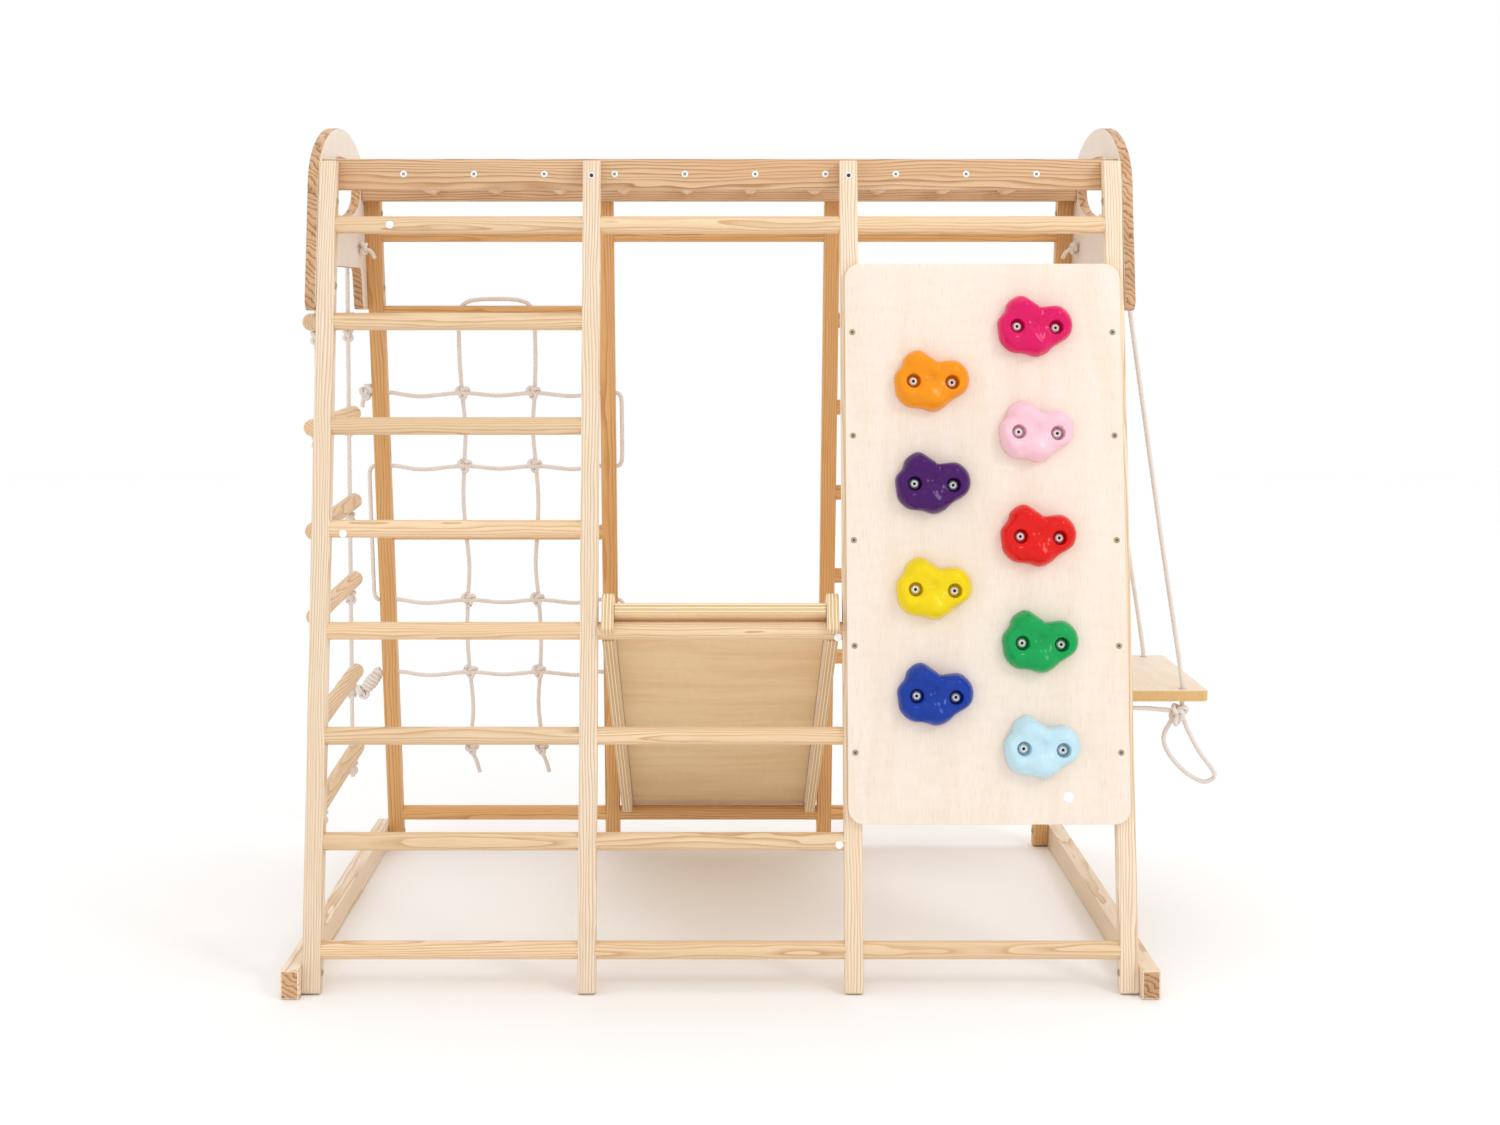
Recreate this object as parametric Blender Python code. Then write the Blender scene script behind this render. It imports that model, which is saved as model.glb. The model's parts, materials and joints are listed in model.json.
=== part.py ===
"""Wooden indoor climbing frame.

It has a rock climbing panel, rungs, monkey bars, a cargo net, a ramp, a swing and a rope ladder.

Metres, +Z up. +X runs to the right along the frame, -Y is the front, the floor is z = 0.
The origin is under the middle of the whole object, ropes left out.
"""
import math

import bmesh
import bpy
from mathutils import Vector

# Frame
GAP = 0.0003
SLOPE = 0.162                 # how far a post leans inwards per metre of height
LEAN = math.atan(SLOPE)
FOOT_Y = 0.424                # outer face of a post at the floor
POST = 0.028                  # square section
POST_TOP = 1.290
POST_X = (-0.6294, -0.2060, 0.2060, 0.6294)
GABLE_X = (0.6437, 0.6610)
RUNNER_X = (0.6437, 0.6720)
RUNNER_HALF_LENGTH = 0.440
RUNNER_HEIGHT = 0.045
ASSEMBLY_SHIFT = -0.06525     # puts the origin under the middle of the whole object

# Rungs
RUNG_RADIUS = 0.014
TENON_RADIUS = 0.008          # a rung is turned down to this where it passes a post
RUNG_SIDES = 12
FRONT_FULL = (0.064, 1.187)
FRONT_LEFT_AND_CENTRE = (0.227, 0.387, 0.548)
FRONT_LEFT = (0.706, 0.867, 1.0325)
BACK_FULL = (0.068, 1.187)
BACK_NET_BARS = (0.226, 0.629, 1.043)
BACK_RIGHT = (0.226, 0.385, 0.545, 0.706, 0.868, 1.030)

# Monkey bars
RAIL_HEIGHTS = (1.245, 1.295)
RAIL_THICKNESS = 0.028
BAR_HEIGHT = 1.270
BAR_COUNT = 10
BAR_PITCH = 0.1137
BAR_HALF_LENGTH = 0.175

# Gable boards
GABLE_FOOT = 1.050
GABLE_LEG = 0.080
CROSSBAR_FOOT = 1.124
SPRING_HEIGHT = 1.243
GABLE_TOP = 1.3585
HANDLE_CENTRE = 1.260
HANDLE_RADII = (0.158, 0.050)
HANG_HOLE_HEIGHT = 1.160
LADDER_ROPE_Y = 0.140
SWING_ROPE_Y = 0.147

# Climbing panel and holds
PANEL_X = (0.1975, 0.6340)
PANEL_HEIGHTS = (0.258, 1.1235)
PANEL_THICKNESS = 0.012
PANEL_CORNER = 0.025
HOLD_SIZE = (0.118, 0.097)
HOLD_DEPTH = 0.034
HOLD_COLUMNS = (0.3325, 0.4965)
HOLDS = (
    ("hold_orange", 0, 0.9415, (0.90, 0.32, 0.010)),
    ("hold_purple", 0, 0.7823, (0.10, 0.010, 0.20)),
    ("hold_yellow", 0, 0.6202, (0.88, 0.66, 0.004)),
    ("hold_blue", 0, 0.4584, (0.012, 0.045, 0.37)),
    ("hold_magenta", 1, 1.0272, (0.73, 0.010, 0.14)),
    ("hold_pink", 1, 0.8625, (0.96, 0.53, 0.67)),
    ("hold_red", 1, 0.7011, (0.76, 0.006, 0.006)),
    ("hold_green", 1, 0.5384, (0.003, 0.37, 0.085)),
    ("hold_light_blue", 1, 0.3790, (0.55, 0.78, 0.87)),
)

# Ramp
RAMP_HALF_WIDTH = 0.186
RAMP_RAIL = 0.019
RAMP_HOOK_HEIGHT = 0.548
RAMP_REST_HEIGHT = 0.068
RAMP_RAIL_TOP = 0.055
RAMP_RAIL_FOOT = -0.012
RAMP_REST_STEP = 0.036
RAMP_DECK = (0.018, 0.036)
HOOK_RADIUS = 0.0146

# Rope, swing and rope ladder
ROPE_RADIUS = 0.004
ROPE_HOLE = 0.0060
SWING_PIVOT = Vector((0.6655, 0.0, 1.120))
SEAT_X = (0.5210, 0.8100)
SEAT_HALF_DEPTH = 0.163
SEAT_HEIGHTS = (0.4025, 0.4215)
SEAT_CORNER = 0.010
SEAT_HOLE = 0.0070
SEAT_HOLE_X = (0.561, 0.770)
LADDER_PIVOT = Vector((-0.6655, 0.0, 1.120))
LADDER_DOWEL_HALF_LENGTH = 0.185
# Heights of each dowel's front and back end; the lower ones hang a little askew
LADDER_DOWELS = (
    (1.031, 1.031),
    (0.858, 0.862),
    (0.688, 0.702),
    (0.547, 0.559),
    (0.366, 0.389),
    (0.225, 0.248),
)
LADDER_ROPE_END = 0.042
NET_WARP_X = (-0.478, -0.343)
NET_WARP_DEPTH = 0.0105
NET_WEFT_DEPTH = 0.0193
NET_WEFT = (0.895, 0.757, 0.498, 0.355)

PINE = (0.86, 0.70, 0.47)
PLY = (0.88, 0.77, 0.62)
ROPE = (0.82, 0.74, 0.68)


def clear_scene():
    for item in list(bpy.data.objects):
        bpy.data.objects.remove(item, do_unlink=True)


def material(name, colour, roughness=0.5):
    made = bpy.data.materials.new(name)
    made.use_nodes = True
    shader = made.node_tree.nodes["Principled BSDF"]
    shader.inputs["Base Color"].default_value = (*colour, 1.0)
    shader.inputs["Roughness"].default_value = roughness
    shader.inputs["Metallic"].default_value = 0.0
    return made


def empty(name, location, parent=None):
    made = bpy.data.objects.new(name, None)
    bpy.context.scene.collection.objects.link(made)
    made.parent = parent
    made.location = location
    return made


def add_object(name, data, parent, colour=None, roughness=0.5):
    """An object whose data is drawn in the assembly's own frame, hung on a parent empty."""
    made = bpy.data.objects.new(name, data)
    bpy.context.scene.collection.objects.link(made)
    made.parent = parent
    if parent is not assembly:
        made.location = -parent.location
    if colour is not None:
        made.data.materials.append(material(name + "_material", colour, roughness))
    return made


def mesh_from(name, bm):
    bmesh.ops.recalc_face_normals(bm, faces=bm.faces)
    mesh = bpy.data.meshes.new(name)
    bm.to_mesh(mesh)
    bm.free()
    return mesh


def extrude_outline(bm, outline, offset):
    """Closes a ring of points into a face and extrudes it by an offset."""
    face = bm.faces.new([bm.verts.new(point) for point in outline])
    swept = bmesh.ops.extrude_face_region(bm, geom=[face])
    moved = [item for item in swept["geom"] if isinstance(item, bmesh.types.BMVert)]
    bmesh.ops.translate(bm, verts=moved, vec=offset)


def side_board(outline, x_low, x_high):
    """A board whose outline is (y, z) and whose thickness runs along X."""
    bm = bmesh.new()
    extrude_outline(bm, [(x_low, y, z) for y, z in outline], (x_high - x_low, 0, 0))
    return mesh_from("side_board", bm)


def add_rod(bm, start, end, radius, sides=RUNG_SIDES):
    start, end = Vector(start), Vector(end)
    along = end - start
    across = along.orthogonal().normalized() if abs(along.normalized().z) > 0.9 else Vector((0, 0, 1))
    across = (across - across.project(along)).normalized()
    other = along.normalized().cross(across)
    ring = []
    for step in range(sides):
        angle = 2 * math.pi * (step + 0.5) / sides
        ring.append(start + (across * math.cos(angle) + other * math.sin(angle)) * radius)
    extrude_outline(bm, ring, along)


def rods(name, spans, radius, sides=RUNG_SIDES):
    bm = bmesh.new()
    for start, end in spans:
        add_rod(bm, start, end, radius, sides)
    return mesh_from(name, bm)


def boolean(target, tool_mesh, operation, parent):
    """Cuts or joins a helper mesh into a target with an exact Boolean."""
    tool = add_object(target.name + "_" + operation.lower(), tool_mesh, parent)
    tool.hide_render = True
    tool.display_type = "WIRE"
    change = target.modifiers.new(operation.title(), "BOOLEAN")
    change.operation = operation
    change.solver = "EXACT"
    change.object = tool


def arc(centre, radius, first, last, steps):
    """Points on an arc in a plane, in degrees, both ends included."""
    points = []
    for step in range(steps + 1):
        angle = math.radians(first + (last - first) * step / steps)
        points.append((centre[0] + radius * math.cos(angle), centre[1] + radius * math.sin(angle)))
    return points


def rounded_rectangle(low, high, radius, steps=3):
    points = arc((high[0] - radius, high[1] - radius), radius, 0, 90, steps)
    points += arc((low[0] + radius, high[1] - radius), radius, 90, 180, steps)
    points += arc((low[0] + radius, low[1] + radius), radius, 180, 270, steps)
    points += arc((high[0] - radius, low[1] + radius), radius, 270, 360, steps)
    return points


def leaning_y(side, height, depth=0.0):
    """Y of a point that lies depth under the outer face of the front (-1) or back (1) posts."""
    return side * (FOOT_Y - SLOPE * height - depth / math.cos(LEAN))


def post_outline(side, low, high, outer, inner):
    return [
        (leaning_y(side, low, outer), low),
        (leaning_y(side, low, inner), low),
        (leaning_y(side, high, inner), high),
        (leaning_y(side, high, outer), high),
    ]


def turned_rung(name, side, height, first_post, last_post):
    """A rung fills each bay and passes the posts on tenons; it stops half way into its end posts."""
    profile = [(POST_X[first_post], TENON_RADIUS)]
    for near, far in zip(POST_X[first_post:last_post], POST_X[first_post + 1:last_post + 1]):
        bay = (near + POST / 2 + GAP, far - POST / 2 - GAP)
        profile += [(bay[0], TENON_RADIUS), (bay[0], RUNG_RADIUS)]
        profile += [(bay[1], RUNG_RADIUS), (bay[1], TENON_RADIUS)]
    profile.append((POST_X[last_post], TENON_RADIUS))
    centre_y = leaning_y(side, height, POST / 2)
    bm = bmesh.new()
    rings = []
    for x, radius in profile:
        ring = []
        for step in range(RUNG_SIDES):
            angle = 2 * math.pi * (step + 0.5) / RUNG_SIDES
            ring.append(bm.verts.new((
                x, centre_y + radius * math.cos(angle), height + radius * math.sin(angle),
            )))
        rings.append(ring)
    for low, high in zip(rings, rings[1:]):
        for step in range(RUNG_SIDES):
            after = (step + 1) % RUNG_SIDES
            bm.faces.new((low[step], low[after], high[after], high[step]))
    bm.faces.new(rings[0])
    bm.faces.new(rings[-1])
    return mesh_from(name, bm)


def rung_table(side):
    """Every rung of one side as (height, first post, last post)."""
    if side < 0:
        table = [(height, 0, 3) for height in FRONT_FULL]
        table += [(height, 0, 2) for height in FRONT_LEFT_AND_CENTRE]
        table += [(height, 0, 1) for height in FRONT_LEFT]
    else:
        table = [(height, 0, 3) for height in BACK_FULL]
        table += [(height, 0, 1) for height in BACK_NET_BARS]
        table += [(height, 2, 3) for height in BACK_RIGHT]
    return table


def make_rungs(side, side_name):
    for height, first, last in rung_table(side):
        bay = {(0, 3): "full", (0, 2): "wide", (0, 1): "left", (2, 3): "right"}[(first, last)]
        if side > 0 and bay == "left":
            bay = "net"
        name = f"{side_name}_rung_{bay}_{round(height * 1000):04d}"
        rung = add_object(name, turned_rung(name, side, height, first, last), assembly, PINE)
        if bay == "net":
            drill_net_bar(rung, height)


def drill_net_bar(rung, height):
    spans = []
    for x in NET_WARP_X:
        low, high = height - 0.03, height + 0.03
        spans.append((
            (x, leaning_y(1, low, NET_WARP_DEPTH), low),
            (x, leaning_y(1, high, NET_WARP_DEPTH), high),
        ))
    boolean(rung, rods("drill", spans, ROPE_HOLE), "DIFFERENCE", assembly)


def post_holes(side, index):
    """Rung sockets and through holes of one post. A socket is GAP deeper than its rung."""
    spans = []
    for height, first, last in rung_table(side):
        if not first <= index <= last:
            continue
        low = -GAP if index == first else -POST
        high = GAP if index == last else POST
        y = leaning_y(side, height, POST / 2)
        spans.append(((POST_X[index] + low, y, height), (POST_X[index] + high, y, height)))
    return spans


def make_posts(side, side_name):
    for index, x in enumerate(POST_X):
        name = f"{side_name}_post_{index + 1}"
        outline = post_outline(side, 0.0, POST_TOP, 0.0, POST)
        post = add_object(name, side_board(outline, x - POST / 2, x + POST / 2), assembly, PINE)
        sockets = rods("sockets", post_holes(side, index), TENON_RADIUS + 2 * GAP)
        boolean(post, sockets, "DIFFERENCE", assembly)
        if side > 0 and index < 2:
            passes = []
            for height in NET_WEFT:
                y = leaning_y(side, height, NET_WEFT_DEPTH)
                passes.append(((x - POST, y, height), (x + POST, y, height)))
            boolean(post, rods("passes", passes, ROPE_HOLE - 0.0005), "DIFFERENCE", assembly)


def make_monkey_bars():
    """Two rails behind the posts and ten bars, one joined ladder."""
    limit = GABLE_X[0] - GAP
    bm = bmesh.new()
    for side in (-1, 1):
        low, high = RAIL_HEIGHTS
        outline = post_outline(side, low, high, POST + GAP, POST + GAP + RAIL_THICKNESS)
        ring = [(-limit, y, z) for y, z in outline]
        extrude_outline(bm, ring, (2 * limit, 0, 0))
    ladder = add_object("monkey_bar_ladder", mesh_from("rails", bm), assembly, PINE)
    spans = []
    for index in range(BAR_COUNT):
        x = (index - (BAR_COUNT - 1) / 2) * BAR_PITCH
        spans.append(((x, -BAR_HALF_LENGTH, BAR_HEIGHT), (x, BAR_HALF_LENGTH, BAR_HEIGHT)))
    boolean(ladder, rods("bars", spans, RUNG_RADIUS), "UNION", assembly)


def gable_outline():
    half_top = FOOT_Y - SLOPE * SPRING_HEIGHT
    crown = []
    steps = 16
    for step in range(steps + 1):
        angle = math.pi * step / steps
        rise = (GABLE_TOP - SPRING_HEIGHT) * math.sin(angle)
        crown.append((half_top * math.cos(angle), SPRING_HEIGHT + rise))
    outer_foot = FOOT_Y - SLOPE * GABLE_FOOT
    inner_foot = outer_foot - GABLE_LEG
    inner_top = FOOT_Y - SLOPE * CROSSBAR_FOOT - GABLE_LEG
    toe = 0.012
    left = [
        (-outer_foot, GABLE_FOOT + toe),
        (-outer_foot + toe, GABLE_FOOT),
        (-inner_foot - toe, GABLE_FOOT),
        (-inner_foot, GABLE_FOOT + toe),
        (-inner_top, CROSSBAR_FOOT),
    ]
    right = [(-y, z) for y, z in reversed(left)]
    return crown + left + right


def make_gables():
    handle = []
    for step in range(24):
        angle = 2 * math.pi * step / 24
        handle.append((HANDLE_RADII[0] * math.cos(angle), HANDLE_CENTRE + HANDLE_RADII[1] * math.sin(angle)))
    for side, name, rope_y in ((-1, "gable_left", LADDER_ROPE_Y), (1, "gable_right", SWING_ROPE_Y)):
        low, high = sorted((side * GABLE_X[0], side * GABLE_X[1]))
        gable = add_object(name, side_board(gable_outline(), low, high), assembly, PLY)
        boolean(gable, side_board(handle, low - 0.01, high + 0.01), "DIFFERENCE", assembly)
        spans = []
        for y in (-rope_y, rope_y):
            spans.append(((low - 0.01, y, HANG_HOLE_HEIGHT), (high + 0.01, y, HANG_HOLE_HEIGHT)))
        boolean(gable, rods("hang_holes", spans, ROPE_HOLE), "DIFFERENCE", assembly)


def make_runners():
    length, height = RUNNER_HALF_LENGTH, RUNNER_HEIGHT
    outline = [(-length, 0), (length, 0), (length, height), (-length, height)]
    for side, name in ((-1, "runner_left"), (1, "runner_right")):
        low, high = sorted((side * RUNNER_X[0], side * RUNNER_X[1]))
        add_object(name, side_board(outline, low, high), assembly, PINE)


def leaning_board(name, x, height, standoff):
    """An object's place and turn on the front face: local X right, Y up the lean, Z outwards."""
    location = Vector((x, leaning_y(-1, height, -standoff), height))
    return location, (math.pi / 2 - LEAN, 0, 0)


def make_panel():
    width = PANEL_X[1] - PANEL_X[0]
    length = (PANEL_HEIGHTS[1] - PANEL_HEIGHTS[0]) / math.cos(LEAN)
    outline = rounded_rectangle((-width / 2, -length / 2), (width / 2, length / 2), PANEL_CORNER, 4)
    bm = bmesh.new()
    extrude_outline(bm, [(x, y, 0) for x, y in outline], (0, 0, PANEL_THICKNESS))
    panel = add_object("climbing_panel", mesh_from("climbing_panel", bm), assembly, PLY)
    middle = sum(PANEL_HEIGHTS) / 2
    panel.location, panel.rotation_euler = leaning_board("panel", sum(PANEL_X) / 2, middle, GAP)


def hold_radius(angle):
    """The wavy outline of a hold as a share of its half size."""
    wave = 0.055 * math.sin(3 * angle + 0.6) + 0.045 * math.sin(5 * angle - 0.4)
    return 0.93 + wave


def make_hold_mesh():
    """A domed, wavy hold with two bolt recesses; local Z points out of the panel."""
    levels = ((0.0, 1.0), (0.35, 0.985), (0.75, 0.86), (1.0, 0.55))
    sides = 20
    bm = bmesh.new()
    rings = []
    for height, share in levels:
        ring = []
        for step in range(sides):
            angle = 2 * math.pi * step / sides
            reach = hold_radius(angle) * share
            ring.append(bm.verts.new((
                HOLD_SIZE[0] / 2 * reach * math.cos(angle),
                HOLD_SIZE[1] / 2 * reach * math.sin(angle),
                HOLD_DEPTH * height,
            )))
        rings.append(ring)
    for low, high in zip(rings, rings[1:]):
        for step in range(sides):
            after = (step + 1) % sides
            bm.faces.new((low[step], low[after], high[after], high[step]))
    bm.faces.new(list(reversed(rings[0])))
    bm.faces.new(rings[-1])
    master = add_object("hold_master", mesh_from("hold", bm), assembly)
    recess = 0.020
    spans = [((x, 0, HOLD_DEPTH - recess), (x, 0, HOLD_DEPTH + recess)) for x in (-0.030, 0.030)]
    boolean(master, rods("recess", spans, 0.011, 10), "DIFFERENCE", assembly)
    seen = master.evaluated_get(bpy.context.evaluated_depsgraph_get())
    mesh = bpy.data.meshes.new_from_object(seen)
    for helper in ("hold_master_difference", "hold_master"):
        bpy.data.objects.remove(bpy.data.objects[helper], do_unlink=True)
    return mesh


def make_holds():
    shape = make_hold_mesh()
    for name, column, height, colour in HOLDS:
        hold = add_object(name, shape.copy(), assembly, colour, 0.45)
        standoff = PANEL_THICKNESS + 2 * GAP
        hold.location, hold.rotation_euler = leaning_board(name, HOLD_COLUMNS[column], height, standoff)


def ramp_points(points):
    """Maps (down the slope, off the slope) to (y, z) about the hook rung."""
    start = Vector((leaning_y(-1, RAMP_HOOK_HEIGHT, POST / 2), RAMP_HOOK_HEIGHT))
    end = Vector((leaning_y(1, RAMP_REST_HEIGHT, POST / 2), RAMP_REST_HEIGHT))
    down = (end - start).normalized()
    off = Vector((-down.y, down.x))
    return [tuple(start + down * s + off * n) for s, n in points]


def ramp_length():
    start = Vector((leaning_y(-1, RAMP_HOOK_HEIGHT, POST / 2), RAMP_HOOK_HEIGHT))
    end = Vector((leaning_y(1, RAMP_REST_HEIGHT, POST / 2), RAMP_REST_HEIGHT))
    return (end - start).length


def make_ramp(pivot):
    """Two side rails that hook over a front rung and rest on the back bottom rung, with a deck between."""
    length = ramp_length()
    front, back, foot, top = -0.032, length + 0.021, RAMP_RAIL_FOOT, RAMP_RAIL_TOP
    corner = 0.014
    outline = [(front, foot), (-HOOK_RADIUS, foot)]
    outline += arc((0, 0), HOOK_RADIUS, 180, 0, 8)
    outline += [(HOOK_RADIUS, foot), (length - RAMP_REST_STEP, foot)]
    outline += [(length - RAMP_REST_STEP, HOOK_RADIUS), (back, HOOK_RADIUS), (back, top - corner)]
    outline += arc((back - corner, top - corner), corner, 0, 90, 3)[1:]
    outline += arc((front + corner, top - corner), corner, 90, 180, 3)
    rail_outline = ramp_points(outline)
    for side, name in ((-1, "ramp_rail_left"), (1, "ramp_rail_right")):
        low, high = sorted((side * RAMP_HALF_WIDTH, side * (RAMP_HALF_WIDTH - RAMP_RAIL)))
        add_object(name, side_board(rail_outline, low, high), pivot, PLY)
    low, high = RAMP_DECK
    deck = ramp_points([(-0.026, low), (length + 0.016, low), (length + 0.016, high), (-0.026, high)])
    half = RAMP_HALF_WIDTH - RAMP_RAIL - GAP
    add_object("ramp_deck", side_board(deck, -half, half), pivot, PLY)


def dense_route(points):
    """Many points on a Catmull-Rom curve through the route's own points."""
    route = [Vector(point) for point in points]
    route = [2 * route[0] - route[1]] + route + [2 * route[-1] - route[-2]]
    dense = []
    for p0, p1, p2, p3 in zip(route, route[1:], route[2:], route[3:]):
        for step in range(24):
            t = step / 24
            dense.append(0.5 * (
                2 * p1 + (p2 - p0) * t + (2 * p0 - 5 * p1 + 4 * p2 - p3) * t * t
                + (3 * p1 - p0 - 3 * p2 + p3) * t * t * t
            ))
    dense.append(route[-2])
    return dense


def even_route(dense, spacing):
    """Points one spacing apart."""
    total = sum((b - a).length for a, b in zip(dense, dense[1:]))
    count = max(2, round(total / spacing))
    picked, walked, target = [dense[0]], 0.0, total / count
    for a, b in zip(dense, dense[1:]):
        walked += (b - a).length
        if walked >= target * len(picked) and len(picked) < count:
            picked.append(b)
    return picked + [dense[-1]]


def bent_route(dense, spacing, bend):
    """Points one spacing apart where the route runs straight, and closer wherever it has turned by a bend."""
    picked, walked, heading = [dense[0]], 0.0, dense[1] - dense[0]
    for a, b, c in zip(dense, dense[1:], dense[2:]):
        walked += (b - a).length
        turned = (c - b).angle(heading, 0.0) > bend
        if walked >= spacing or (turned and walked >= ROPE_RADIUS):
            picked.append(b)
            walked, heading = 0.0, c - b
    return picked + [dense[-1]]


def make_rope(name, points, parent, spacing=0.024, bend=None):
    dense = dense_route(points)
    route = bent_route(dense, spacing, bend) if bend else even_route(dense, spacing)
    curve = bpy.data.curves.new(name, "CURVE")
    curve.dimensions = "3D"
    curve.bevel_depth = ROPE_RADIUS
    curve.bevel_resolution = 2
    curve.use_fill_caps = True
    spline = curve.splines.new("POLY")
    spline.points.add(len(route) - 1)
    for target, point in zip(spline.points, route):
        target.co = (*point, 1.0)
    add_object(name, curve, parent, ROPE, 0.9)


def make_rope_ladder(pivot):
    ropes = (("front", -LADDER_ROPE_Y), ("back", LADDER_ROPE_Y))
    x = LADDER_PIVOT.x
    half = LADDER_DOWEL_HALF_LENGTH

    def height_at(ends, y):
        front, back = ends
        return front + (back - front) * (y + half) / (2 * half)

    for number, (front, back) in enumerate(LADDER_DOWELS, 1):
        name = f"rope_ladder_dowel_{number}"
        dowel = add_object(name, rods(name, [((x, -half, front), (x, half, back))], RUNG_RADIUS), pivot, PINE)
        spans = []
        for _, y in ropes:
            height = height_at((front, back), y)
            spans.append(((x, y, height - 0.03), (x, y, height + 0.03)))
        boolean(dowel, rods("drill", spans, ROPE_HOLE), "DIFFERENCE", pivot)
    for end, y in ropes:
        top, low = LADDER_PIVOT.z - 0.002, height_at(LADDER_DOWELS[-1], y) - LADDER_ROPE_END
        steps = 8
        route = [(x, y, top + (low - top) * step / steps) for step in range(steps + 1)]
        make_rope(f"rope_ladder_rope_{end}", route, pivot, 0.060)


def make_swing(pivot):
    low, high = SEAT_HEIGHTS
    outline = rounded_rectangle((SEAT_X[0], -SEAT_HALF_DEPTH), (SEAT_X[1], SEAT_HALF_DEPTH), SEAT_CORNER)
    bm = bmesh.new()
    extrude_outline(bm, [(x, y, low) for x, y in outline], (0, 0, high - low))
    seat = add_object("swing_seat", mesh_from("swing_seat", bm), pivot, PLY)
    spans = []
    for x in SEAT_HOLE_X:
        for y in (-SWING_ROPE_Y, SWING_ROPE_Y):
            spans.append(((x, y, low - 0.01), (x, y, high + 0.01)))
    boolean(seat, rods("seat_holes", spans, SEAT_HOLE), "DIFFERENCE", pivot)
    inner, outer = SEAT_HOLE_X
    for end, y in (("front", -SWING_ROPE_Y), ("back", SWING_ROPE_Y)):
        apart = 0.0046
        top = SWING_PIVOT.z - 0.002
        make_rope(f"swing_rope_{end}_inner", (
            (SWING_PIVOT.x, y - apart, top),
            (0.6373, y - apart, 0.930),
            (0.5968, y - 0.003, 0.660),
            (inner + 0.003, y, 0.4505),
            (inner, y, 0.4105),
            (inner + 0.001, y, 0.3925),
            (inner + 0.016, y, 0.3765),
            (inner + 0.060, y, 0.3735),
            (0.700, y, 0.3765),
            (0.745, y, 0.3785),
        ), pivot, 0.026)
        fall = (
            (SWING_PIVOT.x, y + apart, top),
            (0.6937, y + apart, 0.930),
            (0.7342, y + 0.003, 0.660),
            (outer - 0.003, y, 0.4505),
            (outer, y, 0.4105),
            (outer, y, 0.3855),
        )
        loop = (
            (outer + 0.006, y - 0.004, 0.360),
            (0.797, y - 0.010, 0.318),
            (0.820, y - 0.008, 0.287),
            (0.8235, y - 0.002, 0.272),
            (0.806, y + 0.004, 0.264),
            (0.775, y + 0.008, 0.282),
            (0.750, y + 0.010, 0.312),
            (0.742, y + 0.010, 0.338),
            (0.750, y + 0.012, 0.360),
        )
        tail = ((outer - 0.003, y + 0.004, 0.372), (outer - 0.010, y + 0.010, 0.358))
        rest = loop if end == "front" else tail
        make_rope(f"swing_rope_{end}_outer", fall + rest, pivot, 0.024)


def net_point(x, height, depth):
    return (x, leaning_y(1, height, depth), height)


def make_net():
    """A rope up and down through the net bars, and one rope to and fro through the posts."""
    low, high = NET_WEFT[-1] - 0.19, BACK_NET_BARS[-1] + 0.012
    steps = 10
    heights = [low + (high - low) * step / steps for step in range(steps + 1)]
    left, right = NET_WARP_X
    route = [net_point(left, height, NET_WARP_DEPTH) for height in heights]
    middle = (left + right) / 2
    route += [
        net_point(left + 0.016, high + 0.022, NET_WARP_DEPTH),
        net_point(middle, high + 0.026, NET_WARP_DEPTH),
        net_point(right - 0.016, high + 0.022, NET_WARP_DEPTH),
    ]
    route += [net_point(right, height, NET_WARP_DEPTH) for height in reversed(heights)]
    make_rope("net_rope_upright", route, assembly, 0.034)

    def crossing(height, forwards):
        first_post, second_post = POST_X[:2]
        stops = [first_post + along for along in (-0.0165, -0.004, 0.012, 0.030)]
        stops += [-0.52, -0.41, -0.30]
        stops += [second_post - along for along in (0.030, 0.012, -0.004, -0.0165)]
        points = [net_point(x, height, NET_WEFT_DEPTH) for x in stops]
        return points if forwards else points[::-1]

    def bend(x, upper, lower):
        """Out of one hole, down the post's side and into the next."""
        outwards = math.copysign(1, x - sum(NET_WARP_X) / 2)
        turning = [(0.0228, 0.0050), (0.0252, 0.0150), (0.0256, 0.0420)]
        above = [net_point(x + outwards * out, upper - drop, NET_WEFT_DEPTH) for out, drop in turning]
        below = [net_point(x + outwards * out, lower + drop, NET_WEFT_DEPTH) for out, drop in turning]
        return above + below[::-1]

    first, second, third, fourth = NET_WEFT
    route = crossing(first, True) + bend(POST_X[1], first, second)
    route += crossing(second, False) + bend(POST_X[0], second, third)
    route += crossing(third, True) + bend(POST_X[1], third, fourth)
    route += crossing(fourth, False)
    make_rope("net_rope_across", route, assembly, 0.044, math.radians(26))


clear_scene()
assembly = empty("assembly", (ASSEMBLY_SHIFT, 0, 0))
swing_pivot = empty("swing_pivot", SWING_PIVOT, assembly)
ladder_pivot = empty("ladder_pivot", LADDER_PIVOT, assembly)
ramp_pivot = empty("ramp_pivot", (0, leaning_y(-1, RAMP_HOOK_HEIGHT, POST / 2), RAMP_HOOK_HEIGHT), assembly)

for face, face_name in ((-1, "front"), (1, "back")):
    make_posts(face, face_name)
    make_rungs(face, face_name)
make_monkey_bars()
make_gables()
make_runners()
make_panel()
make_holds()
make_ramp(ramp_pivot)
make_rope_ladder(ladder_pivot)
make_swing(swing_pivot)
make_net()
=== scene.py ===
"""The looks of the wooden climbing frame: timber, plywood, moulded holds, twisted rope, fasteners."""
import json
from itertools import accumulate
from math import atan, cos, exp, hypot, pi, radians, sin, tan

import bmesh
import bpy
from mathutils import Matrix, Vector, noise


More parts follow.
